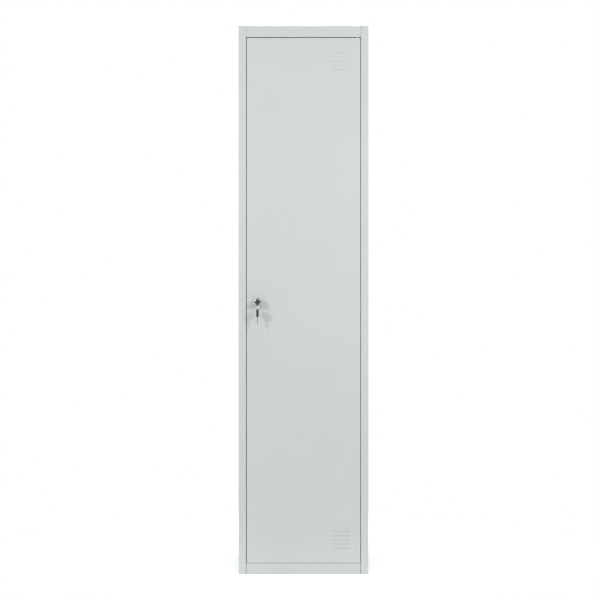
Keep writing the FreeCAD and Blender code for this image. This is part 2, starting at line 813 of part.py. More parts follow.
def pivot_pin(label, head, tip):
    """The head's inner face is at one height and the tip at another, above or below it."""
    outward = "+" if label.endswith("top") else "-"
    outline = [
        ("0", tip),
        ("pin_radius", tip),
        ("pin_radius", head),
        ("pin_head_radius", head),
        ("pin_head_radius", f"{head} {outward} pin_head"),
        ("0", f"{head} {outward} pin_head"),
    ]
    return turned(label, outline, "pivot_x", "pivot_y", "0")


pivot_pin_top = pivot_pin("pivot_pin_top", plate_top_z[1], "door_high - pin_reach")
pivot_pin_bottom = pivot_pin("pivot_pin_bottom", plate_low_z[0], "door_low + pin_reach")


def pivot_bush(label, face, outward, inward):
    """A flanged bush: the flange lies on the door's edge and the sleeve goes through it."""
    depth = "(door_sheet + door_plate)"
    outline = [
        ("bush_bore", f"{face} {inward} {depth}"),
        ("bush_radius", f"{face} {inward} {depth}"),
        ("bush_radius", face),
        ("bush_radius + bush_flange_over", face),
        ("bush_radius + bush_flange_over", f"{face} {outward} bush_flange"),
        ("bush_bore", f"{face} {outward} bush_flange"),
    ]
    return turned(label, outline, "pivot_x", "pivot_y", "0")


bush_top = pivot_bush("bush_top", "door_high", "+", "-")
bush_bottom = pivot_bush("bush_bottom", "door_low", "-", "+")


def bush_hole(thickness, low):
    place = ("pivot_x", "pivot_y", f"{low} - over")
    return cylinder("bush_radius + bush_gap", f"{thickness} + 2 * over", *place)


def door_hinge_plate(label, low, high):
    plate = box(
        ("pivot_x - door_plate_left", "pivot_x + door_plate_right"),
        ("front + door_sheet", "door_back - door_sheet"),
        (low, high),
    )
    return cut(label, plate, bush_hole("door_plate", low))


door_hinge_plate_top = door_hinge_plate(
    "door_hinge_plate_top", "door_high - door_sheet - door_plate", "door_high - door_sheet"
)
door_hinge_plate_bottom = door_hinge_plate(
    "door_hinge_plate_bottom", "door_low + door_sheet", "door_low + door_sheet + door_plate"
)

# --- Door buffers ------------------------------------------------------------
# Rubber discs glued to the door stop.

door_buffers = group(
    "door_buffers",
    [
        cylinder(
            "buffer_radius",
            "stile_depth - sheet - door_depth - buffer_gap",
            "buffer_x",
            "door_back + buffer_gap",
            f"buffer_end + {index} * buffer_step",
            along="y",
        )
        for index in range(int(sizes.buffer_count))
    ],
)

# --- Door skin ---------------------------------------------------------------
# One sheet folded into a pan, with a flange round its back. Each louvre is pressed inward:
# a hood that starts at a crease and ends at a straight cut below it.

def barrel_shape(radius, length, start, spare="0"):
    """A round bar with two flats, across X, along Y from a place behind the front."""
    bar = cylinder(f"{radius} + {spare}", length, "lock_x", f"front + {start}", "lock_height", along="y")
    flats = box(
        (f"lock_x - barrel_flats / 2 - {spare}", f"lock_x + barrel_flats / 2 + {spare}"),
        (f"front + {start} - over", f"front + {start} + {length} + over"),
        ("lock_height - barrel_radius - over", "lock_height + barrel_radius + over"),
    )
    return common("flatted_bar", bar, flats)


def louvre_forms(radius, front_place):
    """The upper half of a round-ended bar along X, behind a place, set at each louvre's cut."""
    ends = [f"louvre_x {turn} louvre_run / 2" for turn in ("-", "+")]
    bar = [cylinder(radius, "louvre_run", ends[0], "front - louvre_centre", "0", along="x")]
    for end in ends:
        ball = doc.addObject("Part::Sphere", "ball")
        ball.setExpression("Radius", formula(radius))
        bar.append(put(ball, end, "front - louvre_centre", "0"))
    half = box(
        (f"{ends[0]} - 2 * louvre_radius", f"{ends[1]} + 2 * louvre_radius"),
        (front_place, "front + 2 * louvre_radius"),
        ("0", "louvre_pitch"),
    )
    form = common("louvre_form", fuse("round_bar", *bar), half)
    return [
        put(group("louvre", [form]), "0", "0", f"{lowest} + {index} * louvre_pitch")
        for lowest in ("louvre_low", "height - louvre_high - (louvre_count - 1) * louvre_pitch")
        for index in range(int(sizes.louvre_count))
    ]


door_block = round_shape(
    box(("door_left", "door_right"), ("front", "door_back"), ("door_low", "door_high")),
    lambda along, middle, span: same(middle.y, span.YMin) or abs(along.y) > 0.9,
    sizes.bend,
)
door_hollow = box(
    ("door_left + door_sheet", "door_right - door_sheet"),
    ("front + door_sheet", "door_back - door_sheet"),
    ("door_low + door_sheet", "door_high - door_sheet"),
)
door_mouth = box(
    ("door_left + door_return", "door_right - door_return"),
    ("door_back - 2 * door_sheet", "door_back + over"),
    ("door_low + door_return", "door_high - door_return"),
)
door_pan = cut("door_pan", door_block, door_hollow, door_mouth)
door_skin = cut(
    "door_skin",
    fuse("pressed_pan", door_pan, *louvre_forms("louvre_radius + door_sheet", "front + door_sheet / 2")),
    *louvre_forms("louvre_radius", "front - over"),
    barrel_shape("barrel_radius", "door_sheet + 2 * over", "(-over)", "barrel_gap"),
    bush_hole("door_sheet", "door_high - door_sheet"),
    bush_hole("door_sheet", "door_low"),
)

# --- Door stiffener ----------------------------------------------------------
# A hat section welded up the middle of the door, on the inside.

door_stiffener = body("door_stiffener")
hat_half = [
    ("stiffener_width / 2 + stiffener_foot", "front + door_sheet"),
    ("stiffener_width / 2 + stiffener_foot", "front + 2 * door_sheet"),
    ("stiffener_width / 2", "front + 2 * door_sheet"),
    ("stiffener_width / 2", "front + door_sheet + stiffener_depth"),
]
crown_half = [
    ("stiffener_width / 2 - door_sheet", "front + door_sheet"),
    ("stiffener_width / 2 - door_sheet", "front + stiffener_depth"),
]
hat_outline = hat_half + [(f"-({x})", y) for x, y in reversed(hat_half)]
hat_outline += [(f"-({x})", y) for x, y in crown_half]
hat_outline += list(reversed(crown_half))
hat_drawing = polygon(sketch(door_stiffener, "XY_Plane", "door_low + stiffener_end"), hat_outline)
pad(door_stiffener, hat_drawing, "door_high - door_low - 2 * stiffener_end")

# --- Lock --------------------------------------------------------------------
# A cam lock: the barrel with its round face is clamped in the door by a nut, and the plug
# turns in it and carries the cam.

lock_place = ("lock_x", "front", "lock_height")
barrel_body = fuse(
    "barrel_body",
    turned(
        "bezel",
        [
            ("0", "-bezel_depth"),
            ("bezel_radius - bezel_round", "-bezel_depth"),
            ("bezel_radius", "-bezel_depth + bezel_round"),
            ("bezel_radius", "0"),
            ("0", "0"),
        ],
        *lock_place,
        along="y",
    ),
    barrel_shape("barrel_radius", "(barrel_end + over)", "(-over)"),
)
plug_bore = turned(
    "plug_bore",
    [
        ("0", "-bezel_depth - over"),
        ("plug_face_radius + plug_play", "-bezel_depth - over"),
        ("plug_face_radius + plug_play", "-bezel_depth + plug_face"),
        ("plug_radius + plug_play", "-bezel_depth + plug_face"),
        ("plug_radius + plug_play", "barrel_end + over"),
        ("0", "barrel_end + over"),
    ],
    *lock_place,
    along="y",
)
lock_barrel = cut("lock_barrel", barrel_body, plug_bore)


def ring_plate(label, outline, thickness, low):
    """A plate of any outline with the threaded barrel's round hole in it."""
    place = ("lock_x", f"front + {low} - over", "lock_height")
    hole = cylinder("barrel_radius + nut_gap", f"{thickness} + 2 * over", *place, along="y")
    return cut(label, outline, hole)


lock_backing_plate = cut(
    "lock_backing_plate",
    box(
        ("lock_x - backing_span / 2 + barrel_gap", "lock_x + backing_span / 2"),
        ("front + door_sheet", "front + door_sheet + backing_sheet"),
        ("lock_height - backing_height / 2", "lock_height + backing_height / 2"),
    ),
    barrel_shape("barrel_radius", "backing_sheet + 2 * over", "(door_sheet - over)", "barrel_gap"),
)
lock_washer = ring_plate(
    "lock_washer",
    cylinder("washer_radius", "washer", "lock_x", "front + nut_front - washer", "lock_height", along="y"),
    "washer",
    "nut_front - washer",
)
hexagon = doc.addObject("Part::Prism", "hexagon")
hexagon.Polygon = 6
hexagon.setExpression("Circumradius", formula("nut_flats / 3 ^ 0.5"))
hexagon.setExpression("Height", formula("nut"))
put(hexagon, "lock_x", "front + nut_front", "lock_height", along="y")
lock_nut = ring_plate("lock_nut", hexagon, "nut", "nut_front")

plug_turned = turned(
    "plug_turned",
    [
        ("0", "plug_front"),
        ("plug_face_radius", "plug_front"),
        ("plug_face_radius", "-bezel_depth + plug_face - plug_play"),
        ("plug_radius", "-bezel_depth + plug_face - plug_play"),
        ("plug_radius", "cam_front"),
        ("0", "cam_front"),
    ],
    *lock_place,
    along="y",
)


def square_bar(half, start, end):
    return box(
        (f"lock_x - {half}", f"lock_x + {half}"),
        (f"front + {start}", f"front + {end}"),
        (f"lock_height - {half}", f"lock_height + {half}"),
    )


keyway = box(
    ("lock_x - keyway_width / 2", "lock_x + keyway_width / 2"),
    ("front + plug_front - over", "front + keyway_end"),
    ("lock_height - keyway_height / 2", "lock_height + keyway_height / 2"),
)
screw_seat = "cam_front + cam_sheet"
screw_start = ("lock_x", f"front + {screw_seat} - screw_length", "lock_height")
lock_plug = cut(
    "lock_plug",
    fuse("plug_body", plug_turned, square_bar("plug_square / 2", "cam_front - over", screw_seat)),
    keyway,
    cylinder("screw_radius + pin_seat", "screw_length + over", *screw_start, along="y"),
)

cam_y = ("front + cam_front", "front + cam_front + cam_sheet")
cam_arm = "cam_reach - cam_width / 2"
lock_cam = cut(
    "lock_cam",
    fuse(
        "cam_plate",
        box(
            ("lock_x - cam_width / 2", "lock_x + cam_width / 2"),
            cam_y,
            (f"lock_height - ({cam_arm})", "lock_height"),
        ),
        cylinder("cam_width / 2", "cam_sheet", "lock_x", cam_y[0], "lock_height", along="y"),
        cylinder("cam_width / 2", "cam_sheet", "lock_x", cam_y[0], f"lock_height - ({cam_arm})", along="y"),
    ),
    square_bar("(plug_square / 2 + cam_gap)", "cam_front - over", f"({screw_seat} + over)"),
)
cam_screw = turned(
    "cam_screw",
    [
        ("0", f"{screw_seat} - screw_length"),
        ("screw_radius", f"{screw_seat} - screw_length"),
        ("screw_radius", screw_seat),
        ("screw_head_radius", screw_seat),
        ("screw_head_radius", f"{screw_seat} + screw_head"),
        ("0", f"{screw_seat} + screw_head"),
    ],
    *lock_place,
    along="y",
)

# --- Keys --------------------------------------------------------------------
# Two like keys. Each is drawn flat, with its blade along +Y from the head's inner end at 0,
# and set in the lock or hung from the ring by its placement.

def key_blade(label):
    made = body(label)
    half = "blade_height / 2"
    outline = [
        ("-blade_tang", f"-({half}) + blade_shoulder"),
        ("0", f"-({half}) + blade_shoulder"),
        ("0", f"-({half})"),
        ("blade_length - blade_tip", f"-({half})"),
        ("blade_length", f"-({half}) + blade_tip"),
        ("blade_length", f"{half} - blade_tip"),
        ("blade_length - blade_tip", half),
        ("0", half),
        ("0", f"{half} - blade_shoulder"),
        ("-blade_tang", f"{half} - blade_shoulder"),
    ]
    pad(made, polygon(sketch(made, "YZ_Plane", "-blade_width / 2"), outline), "blade_width")
    return made


def key_head():
    """A moulded head with an eye across its outer end and a slot for the blade's tang."""
    made = body("head")
    half = "head_width / 2"
    outline = [("-head_length", f"-{half}"), ("0", f"-{half}"), ("0", half), ("-head_length", half)]
    block = pad(made, polygon(sketch(made, "YZ_Plane", "-head_thick / 2"), outline), "head_thick")
    rounded = round_body(made, block, lambda along, middle, span: abs(along.x) > 0.9, "head_corner")
    faces = [
        f"Face{index}"
        for index, face in enumerate(rounded.Shape.Faces, 1)
        if same(abs(face.CenterOfMass.x), sizes.head_thick / 2)
    ]
    soft = made.newObject("PartDesign::Fillet", "soft_edges")
    soft.Base = (rounded, faces)
    soft.setExpression("Radius", formula("head_round"))
    eye_middle = "-head_length + eye_rim + eye_short / 2"
    arm = "(eye_long - eye_short) / 2"
    through = ("-head_thick", "head_thick")
    return cut(
        "head_with_eye",
        made,
        box(through, (f"{eye_middle} - eye_short / 2", f"{eye_middle} + eye_short / 2"), (f"-{arm}", arm)),
        cylinder("eye_short / 2", "2 * head_thick", "-head_thick", eye_middle, f"-{arm}", along="x"),
        cylinder("eye_short / 2", "2 * head_thick", "-head_thick", eye_middle, arm, along="x"),
        box(
            ("-blade_width / 2", "blade_width / 2"),
            ("-blade_tang", "over"),
            ("-blade_height / 2 + blade_shoulder", "blade_height / 2 - blade_shoulder"),
        ),
    )


def hang(piece, label):
    """Turns a key blade down and hangs its head on the ring's lowest point."""
    holder = group(label, [piece])
    put(holder, "lock_x", "front + eye_y", "lock_height + spare_top - head_length")
    holder.Placement.Rotation = FreeCAD.Rotation(FreeCAD.Vector(1, 0, 0), -90)
    return holder


key_in_lock = ("lock_x", "front + key_head_in", "lock_height")
blade = put(key_blade("key_blade"), *key_in_lock)
head = group("key_head", [key_head()])
put(head, *key_in_lock)
spare_blade = hang(key_blade("blade"), "spare_key_blade")
spare_head = hang(key_head(), "spare_key_head")

key_ring = doc.addObject("Part::Torus", "ring")
key_ring.Label = "key_ring"
key_ring.setExpression("Radius1", formula("ring_radius"))
key_ring.setExpression("Radius2", formula("ring_wire"))
put(key_ring, "lock_x", "front + eye_y", "lock_height + ring_middle", along="y")

# --- Sub-parts, each written to its own file ---------------------------------

SUB_PARTS = [
    side_panel_left, side_panel_right, back_panel, back_rivets, top_panel, bottom_panel,
    *tracks, hat_shelf, lower_shelf, hat_shelf_clips, lower_shelf_clips,
    rod_bracket_left, rod_bracket_right, rod_rivets, hanging_rod, rod_end_plugs,
    hinge_plate_top, hinge_plate_bottom, pivot_pin_top, pivot_pin_bottom, door_buffers,
    door_skin, door_stiffener, door_hinge_plate_top, door_hinge_plate_bottom,
    bush_top, bush_bottom, lock_backing_plate, lock_barrel, lock_washer, lock_nut,
    lock_plug, lock_cam, cam_screw, blade, head, key_ring, spare_blade, spare_head,
]

doc.recompute()
faults = [item.Label for item in doc.Objects if {"Invalid", "Error"} & set(item.State)]
faults += [item.Label for item in SUB_PARTS if item.Shape.isNull() or not item.Shape.isValid()]
if faults:
    raise RuntimeError(f"failed: {faults}")

os.makedirs("parts", exist_ok=True)
for item in SUB_PARTS:
    item.Shape.exportStep(f"parts/{item.Label}.step")
    print(item.Label, len(item.Shape.Solids), round(item.Shape.Volume))
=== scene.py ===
import json
import math

import bmesh
import bpy
from mathutils import Matrix, Vector


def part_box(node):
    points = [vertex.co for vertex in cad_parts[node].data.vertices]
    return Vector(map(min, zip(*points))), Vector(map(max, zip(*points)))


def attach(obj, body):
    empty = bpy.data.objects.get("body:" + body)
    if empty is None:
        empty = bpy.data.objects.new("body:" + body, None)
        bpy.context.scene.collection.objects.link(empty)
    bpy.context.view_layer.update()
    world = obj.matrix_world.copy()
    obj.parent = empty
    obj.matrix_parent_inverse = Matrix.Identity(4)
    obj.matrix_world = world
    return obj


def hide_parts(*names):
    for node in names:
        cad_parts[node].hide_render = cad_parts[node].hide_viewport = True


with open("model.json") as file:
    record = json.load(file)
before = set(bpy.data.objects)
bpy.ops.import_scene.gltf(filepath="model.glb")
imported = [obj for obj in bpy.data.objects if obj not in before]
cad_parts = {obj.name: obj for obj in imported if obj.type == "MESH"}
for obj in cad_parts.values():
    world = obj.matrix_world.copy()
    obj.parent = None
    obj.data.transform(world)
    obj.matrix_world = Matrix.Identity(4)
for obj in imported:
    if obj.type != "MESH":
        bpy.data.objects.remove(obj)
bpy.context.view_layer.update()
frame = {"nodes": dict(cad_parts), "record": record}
MM = 0.001

# --- Side panels ----------------------------------------------------------------------
# Each side of the locker is one 0.8 mm steel sheet, folded on a press brake into the front stile
# and the rear flange, and the left one goes on into the door stop. Every sheet of the locker is
# powder coated in light grey, a baked satin film with a faint orange peel.


def linear(code):
    """An sRGB hex colour as the linear one that a shader takes."""
    parts = [int(code[start : start + 2], 16) / 255 for start in (0, 2, 4)]
    return [p / 12.92 if p <= 0.04045 else ((p + 0.055) / 1.055) ** 2.4 for p in parts] + [1.0]


def add(tree, kind, inputs=None, **settings):
    """Adds a node to a tree, with its settings, and fills its inputs with values or links."""
    made = tree.nodes.new(kind)
    for name, setting in settings.items():
        setattr(made, name, setting)
    for name, value in (inputs or {}).items():
        if isinstance(value, bpy.types.NodeSocket):
            tree.links.new(value, made.inputs[name])
        else:
            made.inputs[name].default_value = value
    return made


def material(name, slot, look):
    """A material for a slot. Its look is a function that draws the patterns on the object's own
    coordinates and gives what goes into the shader."""
    made = bpy.data.materials.new(name)
    made["slot"] = slot
    made.use_nodes = True
    tree = made.node_tree
    tree.nodes.clear()
    place = add(tree, "ShaderNodeTexCoord").outputs["Object"]
    shader = add(tree, "ShaderNodeBsdfPrincipled", look(tree, place))
    add(tree, "ShaderNodeOutputMaterial", {"Surface": shader.outputs["BSDF"]})
    return made


# A Mix node's sockets for two numbers or two colours, and for the result. They go by number,
# because those for numbers and those for colours have the same names.
MIX_SOCKETS = {"FLOAT": (2, 3, 0), "RGBA": (6, 7, 2)}


def varied(tree, pattern, one, other):
    """A number or a colour that goes from one to another as a pattern goes from 0.3 to 0.7,
    between which it mostly stays."""
    kind = "FLOAT" if isinstance(one, float) else "RGBA"
    first, second, result = MIX_SOCKETS[kind]
    levels = {"Value": pattern.outputs["Fac"], "From Min": 0.3, "From Max": 0.7}
    share = add(tree, "ShaderNodeMapRange", levels).outputs["Result"]
    mixed = {"Factor": share, first: one, second: other}
    return add(tree, "ShaderNodeMix", mixed, data_type=kind).outputs[result]


def powder_coat(tree, place):
    """Polyester powder baked on steel: the eye gets an even light grey with soft wide highlights,
    broken a little by the orange peel, and the film is slightly thicker in some places."""
    patch = 260 * MM
    film = add(tree, "ShaderNodeTexNoise", {"Vector": place, "Scale": 1 / patch, "Detail": 3.0})
    # real peel is about 1.5 mm across, and it is drawn wider so that it shows
    bump = 4 * MM
    peel = add(tree, "ShaderNodeTexNoise", {"Vector": place, "Scale": 1 / bump, "Detail": 1.0})
    relief = {"Height": peel.outputs["Fac"], "Strength": 0.2, "Distance": 0.06 * MM}
    return {
        "Base Color": varied(tree, film, linear("CCD1D0"), linear("CED3D2")),
        "Roughness": varied(tree, film, 0.42, 0.47),
        "IOR": 1.5,
        "Normal": add(tree, "ShaderNodeBump", relief).outputs["Normal"],
    }


POWDER = material("satin powder coat", "powder_coated_steel", powder_coat)


def offset_path(points, distance, closed=False):
    """The same outline moved to its left by a distance, its corners kept sharp."""
    points = [Vector(point) for point in points]
    count = len(points)
    normals = []
    for turn in range(count if closed else count - 1):
        along = points[(turn + 1) % count] - points[turn]
        normals.append(Vector((-along.y, along.x)).normalized())
    moved = []
    for turn, point in enumerate(points):
        before = normals[turn - 1] if closed or turn else normals[0]
        after = normals[turn] if turn < len(normals) else normals[-1]
        moved.append(point + distance * (before + after) / (1 + before.dot(after)))
    return moved


def bent_path(corners, radius, steps=5):
    """An open outline whose corners become arcs, as a sheet bends over the brake's tool."""
    corners = [Vector(corner) for corner in corners]
    path = [corners[0]]
    for before, corner, after in zip(corners, corners[1:], corners[2:]):
        one, two = (before - corner).normalized(), (after - corner).normalized()
        half = one.angle(two) / 2
        centre = corner + (one + two).normalized() * (radius / math.sin(half))
        start = corner + one * (radius / math.tan(half)) - centre
        end = corner + two * (radius / math.tan(half)) - centre
        for step in range(steps + 1):
            share = step / steps
            sweep = start.angle(end)
            mixed = math.sin((1 - share) * sweep) * start + math.sin(share * sweep) * end
            path.append(centre + mixed / math.sin(sweep))
    return path + [corners[-1]]


# Where a section's two coordinates and its length go, for a sheet that runs along each axis.
RUNS = {
    "x": lambda u, v, w: (w, u, v),
    "y": lambda u, v, w: (u, w, v),
    "z": lambda u, v, w: (u, v, w),
}


def mesh_of(build):
    """A mesh made by a function that fills a bmesh, with its faces turned outwards."""
    bm = bmesh.new()
    build(bm)
    bmesh.ops.recalc_face_normals(bm, faces=bm.faces)
    mesh = bpy.data.meshes.new("sheet")
    bm.to_mesh(mesh)
    bm.free()
    return mesh


def folded_sheet(bm, corners, thickness, inside, low, high, run="z"):
    """A sheet folded along parallel lines: the corners are those of its middle line."""
    middle = bent_path(corners, inside + thickness / 2)
    outline = offset_path(middle, thickness / 2) + offset_path(middle, -thickness / 2)[::-1]
    ends = [[bm.verts.new(RUNS[run](*point, place)) for point in outline] for place in (low, high)]
    count = len(outline)
    for turn in range(count):
        after = (turn + 1) % count
        bm.faces.new((ends[0][turn], ends[0][after], ends[1][after], ends[1][turn]))
    for end in ends:
        for turn in range(len(middle) - 1):
            bm.faces.new((end[turn], end[turn + 1], end[count - 2 - turn], end[count - 1 - turn]))


def block(bm, low, high):
    """A plain block between two corners."""
    xs, ys, zs = zip(low, high)
    corners = [bm.verts.new((x, y, z)) for z in zs for y in ys for x in xs]
    for face in (0, 1, 3, 2), (4, 5, 7, 6), (0, 1, 5, 4), (2, 3, 7, 6), (0, 2, 6, 4), (1, 3, 7, 5):
        bm.faces.new([corners[turn] for turn in face])


# How a bar that is made along Z is turned to lie along each axis.
TURNS = {
    "x": Matrix.Rotation(math.pi / 2, 4, "Y"),
    "y": Matrix.Rotation(math.pi / 2, 4, "X"),
    "z": Matrix(),
}
# How far a cutting bar reaches each way, well past any sheet.
THROUGH = 5 * MM


def drill(bm, radius, centre, along, sides=24):
    """A round cutting bar through a point."""
    bmesh.ops.create_cone(
        bm,
        cap_ends=True,
        segments=sides,
        radius1=radius,
        radius2=radius,
        depth=2 * THROUGH,
        matrix=Matrix.Translation(centre) @ TURNS[along],
    )


def piece_of(name, mesh):
    """An object of a mesh, in the scene."""
    made = bpy.data.objects.new(name, mesh)
    bpy.context.scene.collection.objects.link(made)
    return made


def settle(piece):
    """A piece's mesh becomes what its modifiers make of it."""
    shown = piece.evaluated_get(bpy.context.evaluated_depsgraph_get())
    made = bpy.data.meshes.new_from_object(shown)
    piece.modifiers.clear()
    piece.data = made


def combine(piece, tool, operation="DIFFERENCE"):
    """Cuts a second object from a piece, or joins it on, and uses it up."""
    change = piece.modifiers.new("change", "BOOLEAN")
    change.operation = operation
    change.solver = "EXACT"
    change.object = tool
    settle(piece)
    bpy.data.objects.remove(tool)


def cut(piece, build):
    """Cuts what a function builds from a piece."""
    combine(piece, piece_of("cutter", mesh_of(build)))


def join(piece, build):
    """Joins what a function builds on to a piece."""
    combine(piece, piece_of("addition", mesh_of(build)), "UNION")


def finish(piece, coat, body, *nodes, smooth=30, bevel=0.0):
    """Shades a piece, breaks its sharp edges, and sets it on its body in place of CAD nodes."""
    mesh = piece.data
    mesh.materials.clear()
    mesh.materials.append(coat)
    mesh.shade_smooth()
    mesh.set_sharp_from_angle(angle=math.radians(smooth))
    if bevel:
        edge = piece.modifiers.new("edge", "BEVEL")
        edge.width = bevel
        edge.segments = 2
        edge.limit_method = "ANGLE"
        edge.angle_limit = math.radians(smooth)
    flat = piece.modifiers.new("flat", "WEIGHTED_NORMAL")
    flat.keep_sharp = True
    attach(piece, body)
    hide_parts(*nodes)


cabinet_low, cabinet_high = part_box("side_panel_left")
right_low, right_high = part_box("side_panel_right")
SIDE = right_high.x
FRONT, BACK = cabinet_low.y, cabinet_high.y
TOP = cabinet_high.z
SHEET = 0.8 * MM
INSIDE = 0.5 * MM
STILE = SIDE - right_low.x
STILE_DEPTH = 24 * MM
STOP = 12 * MM
REAR_FLANGE = 20 * MM
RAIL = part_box("bottom_panel")[1].z
TOP_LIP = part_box("top_panel")[0].z
SIDE_HOLE = 3.5 * MM
HALF_SHEET = SHEET / 2
STILE_IN = SIDE - STILE
STOP_BACK = FRONT + STILE_DEPTH


def side_section(way, stopped):
    """The middle line of a side's fold, from the stile's inner wall, or the stop, to the rear."""
    stile = STILE_IN + HALF_SHEET
    if stopped:
        points = [(STILE_IN - STOP, STOP_BACK - HALF_SHEET), (stile, STOP_BACK - HALF_SHEET)]
    else:
        points = [(stile, STOP_BACK)]
    points += [
        (stile, FRONT + HALF_SHEET),
        (SIDE - HALF_SHEET, FRONT + HALF_SHEET),
        (SIDE - HALF_SHEET, BACK - HALF_SHEET),
        (SIDE - REAR_FLANGE, BACK - HALF_SHEET),
    ]
    return [(way * x, y) for x, y in points]


def side_cuts(way, stopped):
    """What the punch takes: the stile's inner wall under the roof, the stop at the rails, holes."""

    def punch(bm):
        inner, outer = sorted((way * (STILE_IN - STOP - MM), way * (STILE_IN + SHEET + MM)))
        block(bm, (inner, FRONT + 2 * SHEET, TOP - SHEET), (outer, STOP_BACK + MM, TOP + MM))
        if stopped:
            inner, outer = sorted((way * (STILE_IN - STOP - MM), way * (STILE_IN - MM / 10)))
            for low, high in ((-MM, RAIL), (TOP_LIP, TOP - SHEET - MM)):
                block(bm, (inner, STOP_BACK - 3 * SHEET, low), (outer, STOP_BACK + MM, high))
        side_name = "side_fixing_right" if way > 0 else "side_fixing_left"
        for hole in frame["record"]["mounts"]:
            if hole["name"] == side_name:
                across, up = hole["dims"]["spacing_x_mm"] * MM, hole["dims"]["spacing_y_mm"] * MM
                for shift in ((-across, -up), (-across, up), (across, -up), (across, up)):
                    centre = Vector(hole["pos_m"]) + Vector((0, *shift)) / 2
                    drill(bm, SIDE_HOLE, centre, "x")

    return punch


for name, way, stopped in (("side_panel_left", -1, True), ("side_panel_right", 1, False)):
    section = side_section(way, stopped)
    panel = piece_of(
        name + "_sheet", mesh_of(lambda bm: folded_sheet(bm, section, SHEET, INSIDE, 0, TOP))
    )
    tab_inner, tab_outer = sorted((way * (STILE_IN + HALF_SHEET), way * (SIDE - HALF_SHEET)))
    tab = (tab_inner, FRONT + HALF_SHEET, 0), (tab_outer, STOP_BACK, SHEET)
    join(panel, lambda bm: block(bm, *tab))
    cut(panel, side_cuts(way, stopped))
    finish(panel, POWDER, "cabinet", name)

# --- Back panel -----------------------------------------------------------------------
# A flat 0.8 mm sheet that closes the back, riveted to the side panels' flanges from outside. Two
# punched holes near its top take the bolts that keep the locker from tipping.

back_low, back_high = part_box("back_panel")
WALL_HOLE = 4 * MM


def back_holes(bm):
    """The holes for the wall bolts."""
    for hole in frame["record"]["mounts"]:
        if hole["name"] == "wall_fixing":
            for across in (-0.5, 0.5):
                shift = Vector((across * hole["dims"]["spacing_x_mm"] * MM, 0, 0))
                drill(bm, WALL_HOLE, Vector(hole["pos_m"]) + shift, "y")


back = piece_of("back_sheet", mesh_of(lambda bm: block(bm, back_low, back_high)))
cut(back, back_holes)
finish(back, POWDER, "cabinet", "back_panel")

# --- Top panel ------------------------------------------------------------------------
# The roof and the upper front rail are one sheet: it runs over the stiles, turns down in front of
# the door as the rail and ends in a lip, and its side and rear flanges are welded inside the shell.

roof_low, roof_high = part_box("top_panel")
ROOF_FLANGE = 20 * MM
RAIL_LIP = 12 * MM
SEAM_TOP = 0.4 * MM
rail_reach = STILE_IN - SEAM_TOP
rail_section = [
    (STOP_BACK - HALF_SHEET, TOP_LIP + RAIL_LIP),
    (STOP_BACK - HALF_SHEET, TOP_LIP + HALF_SHEET),
    (FRONT + HALF_SHEET, TOP_LIP + HALF_SHEET),
    (FRONT + HALF_SHEET, TOP - HALF_SHEET),
    (roof_high.y - HALF_SHEET, TOP - HALF_SHEET),
    (roof_high.y - HALF_SHEET, TOP - ROOF_FLANGE),
]
roof_section = [
    (roof_low.x + HALF_SHEET, TOP - ROOF_FLANGE),
    (roof_low.x + HALF_SHEET, TOP - HALF_SHEET),
    (roof_high.x - HALF_SHEET, TOP - HALF_SHEET),
    (roof_high.x - HALF_SHEET, TOP - ROOF_FLANGE),
]
roof_edge = (roof_low.x, FRONT + SHEET, TOP - SHEET), (roof_high.x, STOP_BACK + SHEET, TOP)
roof = piece_of(
    "roof_sheet",
    mesh_of(
        lambda bm: folded_sheet(bm, rail_section, SHEET, INSIDE, -rail_reach, rail_reach, "x")
    ),
)
join(
    roof, lambda bm: folded_sheet(bm, roof_section, SHEET, INSIDE, STOP_BACK, roof_high.y, "y")
)
join(roof, lambda bm: block(bm, *roof_edge))
finish(roof, POWDER, "cabinet", "top_panel")

# --- Bottom panel ---------------------------------------------------------------------
# The floor is a pan turned upside down. Its front edge shows as the lower rail between the
# stiles, and all its walls turn inwards at the ground into the flange that the locker stands on.


def pan(bm, outline, profile):
    """A pan's outer skin: flat over the outline, then down and round as the profile says, which
    is a list of (inset from the outline, height). The outline goes round to the left."""
    loops = [
        [bm.verts.new((*point, height)) for point in offset_path(outline, inset, closed=True)]
        for inset, height in profile
    ]
    bm.faces.new(loops[0])
    count = len(outline)
    for upper, lower in zip(loops, loops[1:]):
        for turn in range(count):
            after = (turn + 1) % count
            bm.faces.new((upper[turn], lower[turn], lower[after], upper[after]))


def thicken(piece, thickness):
    """Gives a skin its thickness, inwards from its outer face."""
    wall = piece.modifiers.new("wall", "SOLIDIFY")
    wall.thickness = thickness
    wall.offset = -1
    wall.use_even_offset = True
    settle(piece)


BEND = SHEET + INSIDE
BASE_FLANGE = 15 * MM
SEAM_BOTTOM = 1.2 * MM
floor_low, floor_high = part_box("bottom_panel")
tongue = STILE_IN - SEAM_BOTTOM
base_outline = [
    (-tongue, FRONT),
    (tongue, FRONT),
    (tongue, STOP_BACK),
    (floor_high.x, STOP_BACK),
    (floor_high.x, floor_high.y),
    (floor_low.x, floor_high.y),
    (floor_low.x, STOP_BACK),
    (-tongue, STOP_BACK),
]
base_profile = bent_path([(2 * BEND, RAIL), (0, RAIL), (0, 0), (BASE_FLANGE, 0)], BEND)
base = piece_of("base_sheet", mesh_of(lambda bm: pan(bm, base_outline, base_profile)))
thicken(base, SHEET)
finish(base, POWDER, "cabinet", "bottom_panel")

# --- Rivets and buffers ---------------------------------------------------------------
# Small parts that repeat in rows: steel blind rivets with domed heads at the back and under the
# hat shelf, zinc plated, and rubber buffers glued to the door stop.


